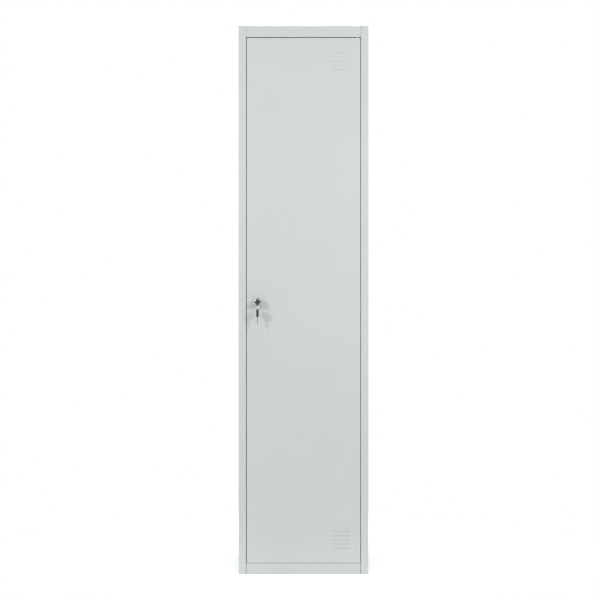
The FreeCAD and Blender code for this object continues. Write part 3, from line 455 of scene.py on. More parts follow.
def new_tree(name, kinds):
    """A Geometry Nodes tree that gives back geometry, with inputs of these names and kinds."""
    tree = bpy.data.node_groups.new(name, "GeometryNodeTree")
    sockets = tree.interface
    sockets.new_socket("Geometry", in_out="OUTPUT", socket_type="NodeSocketGeometry")
    for label, kind in kinds.items():
        sockets.new_socket(label, in_out="INPUT", socket_type="NodeSocket" + kind)
    return tree, tree.nodes.new("NodeGroupInput").outputs


def end_tree(tree, geometry, coat):
    """Ends a tree: its copies become one geometry, in one material."""
    solid = add(tree, "GeometryNodeRealizeInstances", {"Geometry": geometry}).outputs["Geometry"]
    coated = add(tree, "GeometryNodeSetMaterial", {"Geometry": solid, "Material": coat})
    add(tree, "NodeGroupOutput", {"Geometry": coated.outputs["Geometry"]})
    return tree


def run_tree(piece, tree, values):
    """A piece's mesh becomes what a tree makes of it with these values for its inputs."""
    nodes = piece.modifiers.new("nodes", "NODES")
    nodes.node_group = tree
    for socket in tree.interface.items_tree:
        if socket.name in values:
            nodes[socket.identifier] = values[socket.name]
    settle(piece)


def set_out_tree():
    """Copies of one part in rows: so many across by so many up, each a step from the last."""
    counts = {"Across count": "Int", "Up count": "Int"}
    steps = {"Across step": "Vector", "Up step": "Vector"}
    kinds = {"Part": "Geometry", **counts, **steps, "Material": "Material"}
    tree, given = new_tree("set_out", kinds)
    laid = given["Part"]
    for name in ("Across", "Up"):
        spacing = {"Count": given[name + " count"], "Offset": given[name + " step"]}
        line = add(tree, "GeometryNodeMeshLine", spacing, mode="OFFSET")
        copies = {"Points": line.outputs["Mesh"], "Instance": laid}
        laid = add(tree, "GeometryNodeInstanceOnPoints", copies).outputs["Instances"]
    return end_tree(tree, laid, given["Material"])


SET_OUT = set_out_tree()


def set_out(piece, coat, across=(1, (0, 0, 0)), up=(1, (0, 0, 0))):
    """Sets a part out in rows, from the one that is drawn, and makes one mesh of them."""
    rows = {"Across count": across[0], "Across step": across[1], "Material": coat}
    run_tree(piece, SET_OUT, {**rows, "Up count": up[0], "Up step": up[1]})


# Points closer than this are one.
WELD = 1e-6


def turn_outline(bm, outline, centre, along, sides=32):
    """Turns an outline of (radius, place along its axis) round that axis, as on a lathe."""
    axes = {"y": (2, 0, 1), "z": (0, 1, 2)}[along]
    loops = []
    for radius, place in outline:
        count = 1 if radius < WELD else sides
        loop = []
        for turn in range(count):
            angle = 2 * math.pi * turn / count
            point = [0.0, 0.0, 0.0]
            values = (radius * math.cos(angle), radius * math.sin(angle), place)
            for axis, value in zip(axes, values):
                point[axis] = value
            loop.append(bm.verts.new(Vector(point) + Vector(centre)))
        loops.append(loop)
    for one, two in zip(loops, loops[1:]):
        for turn in range(sides):
            after = (turn + 1) % sides
            corners = [one[turn % len(one)], one[after % len(one)]]
            corners += [two[after % len(two)], two[turn % len(two)]]
            kept = list(dict.fromkeys(corners))
            if len(kept) > 2:
                bm.faces.new(kept)


def zinc_plate(tree, place):
    """Bright zinc with a clear passivate, barrel plated: a pale bluish metal whose reflections
    are broken by a fine grain, a little duller in patches."""
    patch = 9 * MM
    dull = add(tree, "ShaderNodeTexNoise", {"Vector": place, "Scale": 1 / patch, "Detail": 3.0})
    grain = add(tree, "ShaderNodeTexNoise", {"Vector": place, "Scale": 1 / (1.2 * MM)})
    relief = {"Height": grain.outputs["Fac"], "Strength": 0.15, "Distance": 0.03 * MM}
    return {
        "Base Color": varied(tree, dull, linear("B4B8BC"), linear("C8CBCC")),
        "Metallic": 1.0,
        "Roughness": varied(tree, grain, 0.24, 0.4),
        "Normal": add(tree, "ShaderNodeBump", relief).outputs["Normal"],
    }


ZINC = material("passivated zinc", "zinc_plated_steel", zinc_plate)


def dome(radius, base, height, way, steps=6):
    """Half the outline of a domed head that stands on a face, from its rim to its crown."""
    angles = [step / steps * math.pi / 2 for step in range(steps + 1)]
    return [(radius * math.cos(angle), base + way * height * math.sin(angle)) for angle in angles]


rivet_low, rivet_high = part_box("back_rivets")
HEAD = 3.2 * MM
SET_HEAD = 2.6 * MM
RIVET = 1.6 * MM
RIVET_COUNT = 7
# The hole that the drawn mandrel leaves in the head: its depth, and how much its edge slopes.
MANDREL_DEPTH = 0.3 * MM
MANDREL_SLOPE = 0.05 * MM
rivet_first = (rivet_low.x + HEAD, 0, rivet_low.z + HEAD)
rivet_outline = (
    [
        (0, rivet_high.y - MANDREL_DEPTH),
        (RIVET / 2, rivet_high.y - MANDREL_DEPTH + MANDREL_SLOPE),
    ]
    + dome(HEAD, BACK, rivet_high.y - BACK, 1)[-2::-1]
    + [(RIVET, BACK), (RIVET, back_low.y)]
    + dome(SET_HEAD, back_low.y, back_low.y - rivet_low.y, -1)
)
rivets = piece_of(
    "back_rivet_rows",
    mesh_of(lambda bm: turn_outline(bm, rivet_outline, rivet_first, "y", 20)),
)
set_out(
    rivets,
    ZINC,
    across=(2, (rivet_high.x - rivet_low.x - 2 * HEAD, 0, 0)),
    up=(RIVET_COUNT, (0, 0, (rivet_high.z - rivet_low.z - 2 * HEAD) / (RIVET_COUNT - 1))),
)
finish(rivets, ZINC, "cabinet", "back_rivets")

foot_low, foot_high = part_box("rod_rivets")
hat_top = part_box("hat_shelf")[1].z
HEAD_HEIGHT = 1 * MM
foot_face = foot_low.z + HEAD_HEIGHT
rod_rivet_outline = (
    dome(SET_HEAD, hat_top, foot_high.z - hat_top, 1)[::-1]
    + [(RIVET, hat_top), (RIVET, foot_face)]
    + dome(HEAD, foot_face, HEAD_HEIGHT, -1)
)
rod_rivet_first = (foot_low.x + HEAD, foot_low.y + HEAD, 0)
rod_rivets = piece_of(
    "rod_rivet_rows",
    mesh_of(lambda bm: turn_outline(bm, rod_rivet_outline, rod_rivet_first, "z", 20)),
)
set_out(
    rod_rivets,
    ZINC,
    across=(2, (foot_high.x - foot_low.x - 2 * HEAD, 0, 0)),
    up=(2, (0, foot_high.y - foot_low.y - 2 * HEAD, 0)),
)
finish(rod_rivets, ZINC, "cabinet", "rod_rivets")


def rubber(tree, place):
    """Black nitrile rubber, moulded: nearly black and dull, with a dusty bloom on it."""
    patch = 2.5 * MM
    bloom = add(tree, "ShaderNodeTexNoise", {"Vector": place, "Scale": 1 / patch, "Detail": 3.0})
    return {
        "Base Color": varied(tree, bloom, linear("1B1B1B"), linear("2C2B2A")),
        "Roughness": varied(tree, bloom, 0.7, 0.85),
        "IOR": 1.52,
    }


RUBBER = material("nitrile rubber", "black_rubber", rubber)
buffer_low, buffer_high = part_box("door_buffers")
buffer_radius = (buffer_high.x - buffer_low.x) / 2
BUFFER_COUNT = 3
BUFFER_EDGE = 0.8 * MM
buffer_outline = [
    (0, buffer_low.y),
    (buffer_radius - BUFFER_EDGE, buffer_low.y),
    (buffer_radius - BUFFER_EDGE / 4, buffer_low.y + BUFFER_EDGE / 4),
    (buffer_radius, buffer_low.y + BUFFER_EDGE),
    (buffer_radius, buffer_high.y),
    (0, buffer_high.y),
]
buffer_first = (buffer_low.x + buffer_radius, 0, buffer_low.z + buffer_radius)
buffers = piece_of(
    "door_buffer_row", mesh_of(lambda bm: turn_outline(bm, buffer_outline, buffer_first, "y"))
)
buffer_step = (buffer_high.z - buffer_low.z - 2 * buffer_radius) / (BUFFER_COUNT - 1)
set_out(buffers, RUBBER, up=(BUFFER_COUNT, (0, 0, buffer_step)))
finish(buffers, RUBBER, "cabinet", "door_buffers")

# --- Shelf tracks ---------------------------------------------------------------------
# Four roll-formed channels of 1.2 mm steel, spot welded to the sides. A row of punched slots up
# their faces takes the clips, so that a shelf can go at any height.

TRACK_SHEET = 1.2 * MM
SLOT_WIDTH = 11 * MM
SLOT_HEIGHT = 4 * MM
SLOT_ROUND = 0.8 * MM
SLOT_FIRST = 20 * MM
SLOT_PITCH = 30 * MM
SLOT_COUNT = 59
# How far the punch reaches each way from a track's face, short of its other side.
PUNCH_REACH = 4 * MM


def bar_across(bm, outline, low_x, high_x, place):
    """A prism between two places along X, of an outline that place() sets out."""
    ends = [[bm.verts.new(place(x, *point)) for point in outline] for x in (low_x, high_x)]
    for end in ends:
        bm.faces.new(end)
    for turn in range(len(outline)):
        after = (turn + 1) % len(outline)
        bm.faces.new((ends[0][turn], ends[0][after], ends[1][after], ends[1][turn]))


def rounded_rectangle(width, height, radius, steps=4):
    """An outline about its own middle, with rounded corners."""
    outline = []
    for across, up, start in ((1, 1, 0), (-1, 1, 1), (-1, -1, 2), (1, -1, 3)):
        for step in range(steps + 1):
            angle = (start + step / steps) * math.pi / 2
            x = across * (width / 2 - radius) + radius * math.cos(angle)
            outline.append((x, up * (height / 2 - radius) + radius * math.sin(angle)))
    return outline


slot_outline = rounded_rectangle(SLOT_WIDTH, SLOT_HEIGHT, SLOT_ROUND)
half_track = TRACK_SHEET / 2
for name in ("track_front_left", "track_rear_left", "track_front_right", "track_rear_right"):
    low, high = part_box(name)
    wall, face = (low.x, high.x) if low.x < 0 else (high.x, low.x)
    way = 1 if face > wall else -1
    section = [
        (wall, low.y + half_track),
        (face - way * half_track, low.y + half_track),
        (face - way * half_track, high.y - half_track),
        (wall, high.y - half_track),
    ]
    track = piece_of(
        name + "_channel",
        mesh_of(lambda bm: folded_sheet(bm, section, TRACK_SHEET, INSIDE, low.z, high.z)),
    )

    def first_slot(bm):
        """The punch for the lowest slot of this track."""
        middle, level = (low.y + high.y) / 2, low.z + SLOT_FIRST
        ends = face - PUNCH_REACH, face + PUNCH_REACH
        bar_across(bm, slot_outline, *ends, lambda x, y, z: (x, middle + y, level + z))

    slots = piece_of("slots", mesh_of(first_slot))
    set_out(slots, POWDER, up=(SLOT_COUNT, (0, 0, SLOT_PITCH)))
    combine(track, slots)
    finish(track, POWDER, "cabinet", name)

# --- Shelves --------------------------------------------------------------------------
# Two pans of 0.8 mm sheet with their edges turned down, and a hem along the bottom of the front
# edge so that it is safe to the hand. Bent, zinc plated clips hook them into the tracks.

SHELF_HEM = 10 * MM
for name in ("hat_shelf", "lower_shelf"):
    low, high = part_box(name)
    outline = [(low.x, low.y), (high.x, low.y), (high.x, high.y), (low.x, high.y)]
    profile = bent_path([(2 * BEND, high.z), (0, high.z), (0, low.z)], BEND)
    shelf = piece_of(name + "_pan", mesh_of(lambda bm: pan(bm, outline, profile)))
    thicken(shelf, SHEET)
    hem = [
        (low.y + HALF_SHEET, low.z + 4 * BEND),
        (low.y + HALF_SHEET, low.z + HALF_SHEET),
        (low.y + SHELF_HEM, low.z + HALF_SHEET),
    ]
    hem_ends = low.x + 2 * BEND, high.x - 2 * BEND
    join(shelf, lambda bm: folded_sheet(bm, hem, SHEET, INSIDE, *hem_ends, "x"))
    finish(shelf, POWDER, "cabinet", name)


def refined(name, coat, body, bevel):
    """A CAD node's own shape with its edges broken, as a deburred or tumbled part has them."""
    copy = frame["nodes"][name].data.copy()
    bm = bmesh.new()
    bm.from_mesh(copy)
    bmesh.ops.remove_doubles(bm, verts=bm.verts, dist=WELD)
    bmesh.ops.dissolve_limit(
        bm, angle_limit=math.radians(0.5), verts=bm.verts, edges=bm.edges, delimit={"NORMAL"}
    )
    bm.to_mesh(copy)
    bm.free()
    finish(piece_of(name + "_part", copy), coat, body, name, bevel=bevel)


for name in ("hat_shelf_clips", "lower_shelf_clips"):
    refined(name, ZINC, "cabinet", bevel=0.25 * MM)

# --- Hanging rod ----------------------------------------------------------------------
# A 19 mm chromed steel tube through two riveted brackets, closed by moulded end plugs.


def chrome(tree, place):
    """Nickel-chrome plate on polished steel: a clear cool mirror, with faint polishing marks."""
    mark = 3 * MM
    marks = add(tree, "ShaderNodeTexNoise", {"Vector": place, "Scale": 1 / mark, "Detail": 4.0})
    return {
        "Base Color": linear("D9DBDD"),
        "Metallic": 1.0,
        "Roughness": varied(tree, marks, 0.05, 0.12),
    }


def moulded(shades, size, rough):
    """The look of injection-moulded plastic from a spark-eroded tool: an even colour with a fine
    matt grain, by the size of the grain and two shades and roughnesses."""

    def look(tree, place):
        grain = add(tree, "ShaderNodeTexNoise", {"Vector": place, "Scale": 1 / size})
        relief = {"Height": grain.outputs["Fac"], "Strength": 0.3, "Distance": 0.04 * MM}
        return {
            "Base Color": varied(tree, grain, *map(linear, shades)),
            "Roughness": varied(tree, grain, *rough),
            "IOR": 1.5,
            "Normal": add(tree, "ShaderNodeBump", relief).outputs["Normal"],
        }

    return look


CHROME = material("polished chrome", "chrome_plate", chrome)
black_nylon = moulded(("37383A", "404143"), 0.8 * MM, (0.38, 0.5))
BLACK_PLASTIC = material("black nylon", "black_plastic", black_nylon)
for name in ("rod_bracket_left", "rod_bracket_right"):
    refined(name, ZINC, "cabinet", bevel=0.25 * MM)
refined("hanging_rod", CHROME, "cabinet", bevel=0.2 * MM)
refined("rod_end_plugs", BLACK_PLASTIC, "cabinet", bevel=0.3 * MM)

# --- Pivots ---------------------------------------------------------------------------
# Turned steel pins, riveted into plates behind the rails. The door carries nylon bushes that run
# on them, backed by plates inside its folded edges.

natural_nylon = moulded(("D6D6CF", "DEDED8"), 1.5 * MM, (0.35, 0.45))
WHITE_PLASTIC = material("natural white nylon", "white_nylon", natural_nylon)
for name in ("hinge_plate_top", "hinge_plate_bottom"):
    refined(name, POWDER, "cabinet", bevel=0.3 * MM)
for name in ("pivot_pin_top", "pivot_pin_bottom"):
    refined(name, ZINC, "cabinet", bevel=0.2 * MM)
for name in ("door_hinge_plate_top", "door_hinge_plate_bottom"):
    refined(name, POWDER, "door", bevel=0.3 * MM)
for name in ("bush_top", "bush_bottom"):
    refined(name, WHITE_PLASTIC, "door", bevel=0.15 * MM)

# --- Door skin ------------------------------------------------------------------------
# The door is a pan of 1 mm sheet, its edges folded back and in again. Two groups of five louvres
# are sheared and pressed inwards in one stroke: each is a hood that starts at a soft crease and
# ends at the slit below it.

door_low, door_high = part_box("door_skin")
DOOR_SHEET = 1.0 * MM
DOOR_INSIDE = 0.3 * MM
DOOR_RETURN = 16 * MM
LOCK_HOLE = 9.7 * MM
PIN_HOLE = 4.07 * MM
# A louvre is pressed in like part of a round bar of this radius, whose middle lies this far in
# front of the door.
HOOD = 8 * MM
HOOD_CENTRE = 6.6 * MM
LOUVRE_RUN = 54 * MM
LOUVRE_X = 128 * MM
LOUVRE_PITCH = 14.5 * MM
LOUVRE_COUNT = 5
LOUVRE_LOW = 88.3 * MM
LOUVRE_HIGH = TOP - 92.5 * MM
CREASE = 0.6 * MM
# A hood's ends are drawn out longer than it is high.
END_STRETCH = 1.35
GRID = 0.45 * MM

slits = [LOUVRE_LOW + index * LOUVRE_PITCH for index in range(LOUVRE_COUNT)]
slits += [LOUVRE_HIGH - index * LOUVRE_PITCH for index in reversed(range(LOUVRE_COUNT))]


def hood_depth(x, up):
    """How far a louvre is pressed in, at a place across and above its slit."""
    beyond = max(abs(x - LOUVRE_X) - LOUVRE_RUN / 2, 0.0) / END_STRETCH
    reach = math.hypot(beyond, up)
    depth = (math.sqrt(HOOD**2 - reach**2) if reach < HOOD else HOOD - reach) - HOOD_CENTRE
    if depth <= -CREASE:
        return 0.0
    return depth if depth >= CREASE else (depth + CREASE) ** 2 / (4 * CREASE)


def louvred_face(bm, left, right, bottom, top):
    """The door's face as a grid, close where the louvres are and open along each slit."""
    rise = math.sqrt(HOOD**2 - (HOOD_CENTRE - CREASE) ** 2) + GRID
    reach = LOUVRE_RUN / 2 + rise * END_STRETCH
    columns = int(2 * reach / GRID)
    xs = [LOUVRE_X - reach + 2 * reach * turn / columns for turn in range(columns + 1)]
    xs = [left, *xs, right]
    rows = int(rise / GRID)
    levels = [(bottom, lambda x: 0.0)]
    for slit in slits:
        levels.append((slit, lambda x: 0.0))
        for turn in range(rows + 1):
            up = rise * turn / rows
            levels.append((slit + up, lambda x, up=up: hood_depth(x, up)))
    levels.append((top, lambda x: 0.0))
    grid = [[bm.verts.new((x, FRONT + depth(x), z)) for x in xs] for z, depth in levels]
    for lower, upper, here, above in zip(grid, grid[1:], levels, levels[1:]):
        if above[0] - here[0] < WELD:
            continue
        for turn in range(len(xs) - 1):
            bm.faces.new((lower[turn], lower[turn + 1], upper[turn + 1], upper[turn]))
    bmesh.ops.remove_doubles(bm, verts=bm.verts, dist=WELD)


def door_surface(bm):
    """The door's outer skin: the face, and the edges that go round the bends to the return."""
    margin = 2 * (DOOR_SHEET + DOOR_INSIDE)
    bounds = (door_low.x + margin, door_high.x - margin, door_low.z + margin, door_high.z - margin)
    louvred_face(bm, *bounds)
    rim = [
        edge
        for edge in bm.edges
        if edge.is_boundary
        and any(
            all(abs(vert.co[axis] - place) < WELD for vert in edge.verts)
            for axis, place in ((0, bounds[0]), (0, bounds[1]), (2, bounds[2]), (2, bounds[3]))
        )
    ]
    middle = ((door_low.x + door_high.x) / 2, (door_low.z + door_high.z) / 2)
    size = ((door_high.x - door_low.x) / 2, (door_high.z - door_low.z) / 2)
    corners = [(margin, FRONT), (0, FRONT), (0, door_high.y), (DOOR_RETURN, door_high.y)]
    inset = margin
    for next_inset, depth in bent_path(corners, DOOR_SHEET + DOOR_INSIDE)[1:]:
        made = bmesh.ops.extrude_edge_only(bm, edges=rim)["geom"]
        rim = [part for part in made if isinstance(part, bmesh.types.BMEdge)]
        for vert in {vert for edge in rim for vert in edge.verts}:
            for axis, (centre, reach) in zip((0, 2), zip(middle, size)):
                if abs(abs(vert.co[axis] - centre) - (reach - inset)) < WELD:
                    way = 1 if vert.co[axis] > centre else -1
                    vert.co[axis] = centre + way * (reach - next_inset)
            vert.co.y = depth
        inset = next_inset


def door_holes(bm):
    """The holes for the lock in the face and for the pivots in the upper and lower edges."""
    low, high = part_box("lock_barrel")
    centre = (low + high) / 2
    drill(bm, LOCK_HOLE, Vector((centre.x, FRONT, centre.z)), "y", 48)
    for name, level in (("pivot_pin_top", door_high.z), ("pivot_pin_bottom", door_low.z)):
        low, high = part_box(name)
        centre = (low + high) / 2
        drill(bm, PIN_HOLE, Vector((centre.x, centre.y, level)), "z", 32)


door = piece_of("door_pan", mesh_of(door_surface))
thicken(door, DOOR_SHEET)
cut(door, door_holes)
finish(door, POWDER, "door", "door_skin", smooth=40)

# --- Door stiffener -------------------------------------------------------------------
# A hat section of 1 mm sheet, spot welded up the inside of the door so that it doesn't drum.

rib_low, rib_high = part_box("door_stiffener")
CROWN = 25 * MM
half_door = DOOR_SHEET / 2
right_half = [
    (rib_high.x, rib_low.y + half_door),
    (CROWN - half_door, rib_low.y + half_door),
    (CROWN - half_door, rib_high.y - half_door),
]
rib_section = right_half + [(-x, y) for x, y in reversed(right_half)]
rib_ends = rib_low.z, rib_high.z
stiffener = piece_of(
    "door_stiffener_hat",
    mesh_of(lambda bm: folded_sheet(bm, rib_section, DOOR_SHEET, DOOR_INSIDE, *rib_ends)),
)
finish(stiffener, POWDER, "door", "door_stiffener")

# --- Lock -----------------------------------------------------------------------------
# A quarter-turn cam lock. Its die-cast barrel has a chromed face, sits in the door with a
# backing plate behind it and is held by a washer and nut. The plug inside it turns the cam.

BARREL = 9.5 * MM
BARREL_FLATS = 16 * MM
BEZEL_ROUND = 2.2 * MM
BEZEL_RIM = 0.25 * MM
BORE_EDGE = 0.15 * MM
PLUG_BORE = 6.05 * MM
FACE_BORE = 7.55 * MM
FACE_SEAT = 1.5 * MM
THREAD_START = 3 * MM
THREAD_PITCH = 1.25 * MM
THREAD_DEPTH = 0.55 * MM
barrel_low, barrel_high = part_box("lock_barrel")
lock_axis = (barrel_low + barrel_high) / 2
bezel_radius = (barrel_high.x - barrel_low.x) / 2


def barrel_outline():
    """The barrel from the edge of its front bore, over the domed bezel and the thread, and back
    through the bore."""
    front = barrel_low.y
    points = [(FACE_BORE, front + BORE_EDGE), (FACE_BORE + BORE_EDGE, front)]
    steps = 12
    rise = FRONT - BEZEL_RIM - front
    for step in range(steps + 1):
        angle = step / steps * math.pi / 2
        radius = bezel_radius - BEZEL_ROUND * (1 - math.sin(angle))
        points.append((radius, front + rise * (1 - math.cos(angle))))
    points += [(bezel_radius, FRONT), (BARREL, FRONT)]
    turns = int((barrel_high.y - FRONT - THREAD_START) / THREAD_PITCH)
    for turn in range(turns):
        start = FRONT + THREAD_START + turn * THREAD_PITCH
        points.append((BARREL, start))
        points.append((BARREL - THREAD_DEPTH, start + 0.5 * THREAD_PITCH))
        points.append((BARREL, start + 0.9 * THREAD_PITCH))
    end = barrel_high.y
    points += [(BARREL, end - THREAD_DEPTH), (BARREL - THREAD_DEPTH, end), (PLUG_BORE, end)]
    points += [(PLUG_BORE, front + FACE_SEAT), (FACE_BORE, front + FACE_SEAT)]
    return points + points[:1]


def barrel_turned(bm):
    """The barrel as it comes off the lathe."""
    turn_outline(bm, barrel_outline(), (lock_axis.x, 0, lock_axis.z), "y", 64)
    bmesh.ops.remove_doubles(bm, verts=bm.verts, dist=WELD)


def barrel_flats(bm):
    """What is milled off the thread's two sides, so that the barrel can't turn in the door."""
    for way in (-1, 1):
        near, far = sorted((way * BARREL_FLATS / 2, way * 2 * BARREL))
        low = (lock_axis.x + near, FRONT, lock_axis.z - 2 * BARREL)
        block(bm, low, (lock_axis.x + far, barrel_high.y + MM, lock_axis.z + 2 * BARREL))


barrel = piece_of("lock_barrel_turned", mesh_of(barrel_turned))
cut(barrel, barrel_flats)
finish(barrel, CHROME, "door", "lock_barrel")
refined("lock_backing_plate", POWDER, "door", bevel=0.3 * MM)
refined("lock_washer", ZINC, "door", bevel=0.12 * MM)
refined("lock_nut", ZINC, "door", bevel=0.3 * MM)
refined("lock_plug", CHROME, "lock_cylinder", bevel=0.12 * MM)
refined("lock_cam", ZINC, "lock_cylinder", bevel=0.2 * MM)
refined("cam_screw", ZINC, "lock_cylinder", bevel=0.25 * MM)

# --- Keys -----------------------------------------------------------------------------
# Two nickel-plated steel keys with black moulded heads. One stands in the lock, and the other
# hangs from it on a split ring.

# The length of one radian of the milled lines, drawn wider than real ones so that they show, and
# the radians that a wave turns over one unit at scale 1.
LINE_RADIAN = 0.5 * MM
WAVE_RADIANS = 20


def nickel(tree, place):
    """Nickel-plated steel key blank, milled: a warm grey metal with fine lines across it."""
    waves = {"Vector": place, "Scale": 1 / LINE_RADIAN / WAVE_RADIANS, "Distortion": 1.0}
    lines = add(tree, "ShaderNodeTexWave", waves, bands_direction="Z")
    relief = {"Height": lines.outputs["Fac"], "Strength": 0.1, "Distance": 0.01 * MM}
    return {
        "Base Color": linear("BDBFBC"),
        "Metallic": 1.0,
        "Roughness": varied(tree, lines, 0.22, 0.34),
        "Normal": add(tree, "ShaderNodeBump", relief).outputs["Normal"],
    }


NICKEL = material("milled nickel plate", "bright_key_steel", nickel)
CUT_PITCH = 2.4 * MM
CUT_DEPTHS = [depth * MM for depth in (1.3, 0.4, 1.0, 1.8, 0.6, 1.5)]
CUT_FLAT = 0.5 * MM
LAST_CUT = 4.5 * MM
TIP_CHAMFER = 2.5 * MM
BLADE_EDGE = 0.08 * MM
TANG = 8 * MM
TANG_STEP = 1 * MM
GROOVE_WIDTH = 1.3 * MM
GROOVE_DEPTH = 0.35 * MM
GROOVE_OFFSET = 1.4 * MM
blade_low, blade_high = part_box("key_blade")
spare_low, spare_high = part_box("spare_key_blade")
blade_half = (blade_high.z - blade_low.z) / 2
blade_length = blade_high.y - blade_low.y - TANG


def bitted_edge():
    """The cuts along a blade's edge as (distance from the head, depth), sloped at 45 degrees."""
    edge = []
    for index, depth in enumerate(CUT_DEPTHS):
        centre = blade_length - LAST_CUT - (len(CUT_DEPTHS) - 1 - index) * CUT_PITCH
        start, end = centre - CUT_FLAT / 2, centre + CUT_FLAT / 2
        if index:
            last_end, last_depth = edge[-1]
            shift = (last_depth - depth + start - last_end) / 2
            crest = max(last_depth - shift, 0.0)
            edge.append((last_end + last_depth - crest, crest))
            edge.append((start - depth + crest, crest))
        else:
            edge.append((start - depth, 0.0))
        edge += [(start, depth), (end, depth)]
    return edge + [(edge[-1][0] + edge[-1][1], 0.0)]


def key_blade(name, body, place):
    """A blade with the same cuts along both edges, and a milled groove in each of its flats."""
    low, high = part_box(name)
    half, length = blade_half, blade_length
    upper = [(-TANG, half - TANG_STEP), (0, half - TANG_STEP), (0, half)]
    upper += [(along, half - depth) for along, depth in bitted_edge()]
    upper += [(length - TIP_CHAMFER, half), (length, half - TIP_CHAMFER)]
    outline = upper + [(along, -up) for along, up in reversed(upper)]

    def cut_blank(bm):
        """The flat blank with its edges cut."""
        bar_across(bm, outline, low.x, high.x, place)
        bmesh.ops.remove_doubles(bm, verts=bm.verts, dist=WELD)

    def grooves(bm):
        """The groove in each flat, a little off the middle."""
        for flat, out in ((low.x, -1), (high.x, 1)):
            shift = out * GROOVE_OFFSET / 2
            sides = shift - GROOVE_WIDTH / 2, shift + GROOVE_WIDTH / 2
            rim = [(MM, sides[0]), (length + MM, sides[0]), (length + MM, sides[1]), (MM, sides[1])]
            bar_across(bm, rim, *sorted((flat - out * GROOVE_DEPTH, flat + out * MM)), place)

    blade = piece_of(name + "_cut", mesh_of(cut_blank))
    cut(blade, grooves)
    finish(blade, NICKEL, body, name, bevel=BLADE_EDGE)


blade_z = (blade_low.z + blade_high.z) / 2
blade_start = blade_low.y + TANG
spare_y = (spare_low.y + spare_high.y) / 2
spare_start = spare_high.z - TANG
key_blade("key_blade", "key", lambda x, along, up: (x, blade_start + along, blade_z + up))
key_blade(
    "spare_key_blade", "spare_key", lambda x, along, up: (x, spare_y + up, spare_start - along)
)
refined("key_head", BLACK_PLASTIC, "key", bevel=0.3 * MM)
refined("spare_key_head", BLACK_PLASTIC, "spare_key", bevel=0.3 * MM)


def split_ring_tree():
    """Two turns of flattened wire side by side, with a joggle where one goes over to the next."""
    lengths = ("Radius", "Wire width", "Wire thickness", "Joggle", "Rounding")
    kinds = {**dict.fromkeys(lengths, "Float"), "Middle": "Vector", "Material": "Material"}
    tree, given = new_tree("split_ring", kinds)
    turns = add(tree, "ShaderNodeMath", {0: 2.0, 1: given["Joggle"]}, operation="SUBTRACT")
    radii = {"Start Radius": given["Radius"], "End Radius": given["Radius"]}
    spiral = add(
        tree,
        "GeometryNodeCurveSpiral",
        {"Resolution": 72, "Rotations": turns.outputs[0], **radii, "Height": 0.0},
    )
    share = add(tree, "GeometryNodeSplineParameter").outputs["Factor"]
    turned = add(tree, "ShaderNodeMath", {0: share, 1: turns.outputs[0]}, operation="MULTIPLY")
    start = add(tree, "ShaderNodeMath", {0: 1.0, 1: given["Joggle"]}, operation="SUBTRACT")
    thick = given["Wire thickness"]
    above = add(tree, "ShaderNodeMath", {0: thick, 1: 0.5}, operation="MULTIPLY")
    below = add(tree, "ShaderNodeMath", {0: thick, 1: -0.5}, operation="MULTIPLY")
    level = add(
        tree,
        "ShaderNodeMapRange",
        {
            "Value": turned.outputs[0],
            "From Min": start.outputs[0],
            "From Max": 1.0,
            "To Min": below.outputs[0],
            "To Max": above.outputs[0],
        },
        interpolation_type="SMOOTHSTEP",
    )
    lift = add(tree, "ShaderNodeCombineXYZ", {"Z": level.outputs["Result"]})
    lifted = {"Geometry": spiral.outputs["Curve"], "Offset": lift.outputs["Vector"]}
    coiled = add(tree, "GeometryNodeSetPosition", lifted).outputs["Geometry"]
    path = add(tree, "GeometryNodeSetCurveNormal", {"Curve": coiled}, mode="Z_UP")
    section = add(
        tree,
        "GeometryNodeCurvePrimitiveQuadrilateral",
        {"Width": given["Wire width"], "Height": thick},
    )
    corners = {"Curve": section.outputs["Curve"], "Radius": given["Rounding"], "Count": 4}
    rounded = add(tree, "GeometryNodeFilletCurve", corners, mode="POLY").outputs["Curve"]
    swept = {"Curve": path.outputs["Curve"], "Profile Curve": rounded, "Fill Caps": True}
    wire = add(tree, "GeometryNodeCurveToMesh", swept).outputs["Mesh"]
    upright = {"Geometry": wire, "Rotation": (math.pi / 2, 0, 0), "Translation": given["Middle"]}
    placed = add(tree, "GeometryNodeTransform", upright)
    return end_tree(tree, placed.outputs["Geometry"], given["Material"])


# The wire's section against the ring's thickness, and the share of a turn that the joggle takes.
WIRE_WIDTH = 0.65
WIRE_THICKNESS = 0.49
WIRE_ROUNDING = 0.15
JOGGLE = 0.07
ring_low, ring_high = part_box("key_ring")
across = ring_high.y - ring_low.y
split_ring = piece_of("split_ring_wire", bpy.data.meshes.new("wire"))
run_tree(
    split_ring,
    split_ring_tree(),
    {
        "Radius": (ring_high.x - ring_low.x - across) / 2,
        "Wire width": across * WIRE_WIDTH,
        "Wire thickness": across * WIRE_THICKNESS,
        "Joggle": JOGGLE,
        "Rounding": across * WIRE_ROUNDING,
        "Middle": (ring_low + ring_high) / 2,
        "Material": CHROME,
    },
)
finish(split_ring, CHROME, "split_ring", "key_ring")

# --- Studio ---------------------------------------------------------------------------
# A pale round floor, a white surround that lights the locker little, two soft boxes in front at
# either side, and a wide overhead light. The camera stands far off at half the locker's height.

# The surround's brightness level with the locker, above it and on the ground further off.
CAMERA_SIDE = 0.13
CEILING = 0.5
GROUND = 1.0
FLOOR_RADIUS = 1.2
FLOOR_MIDDLE = Vector((0, 0.3, 0))
MOTTLE = 0.4


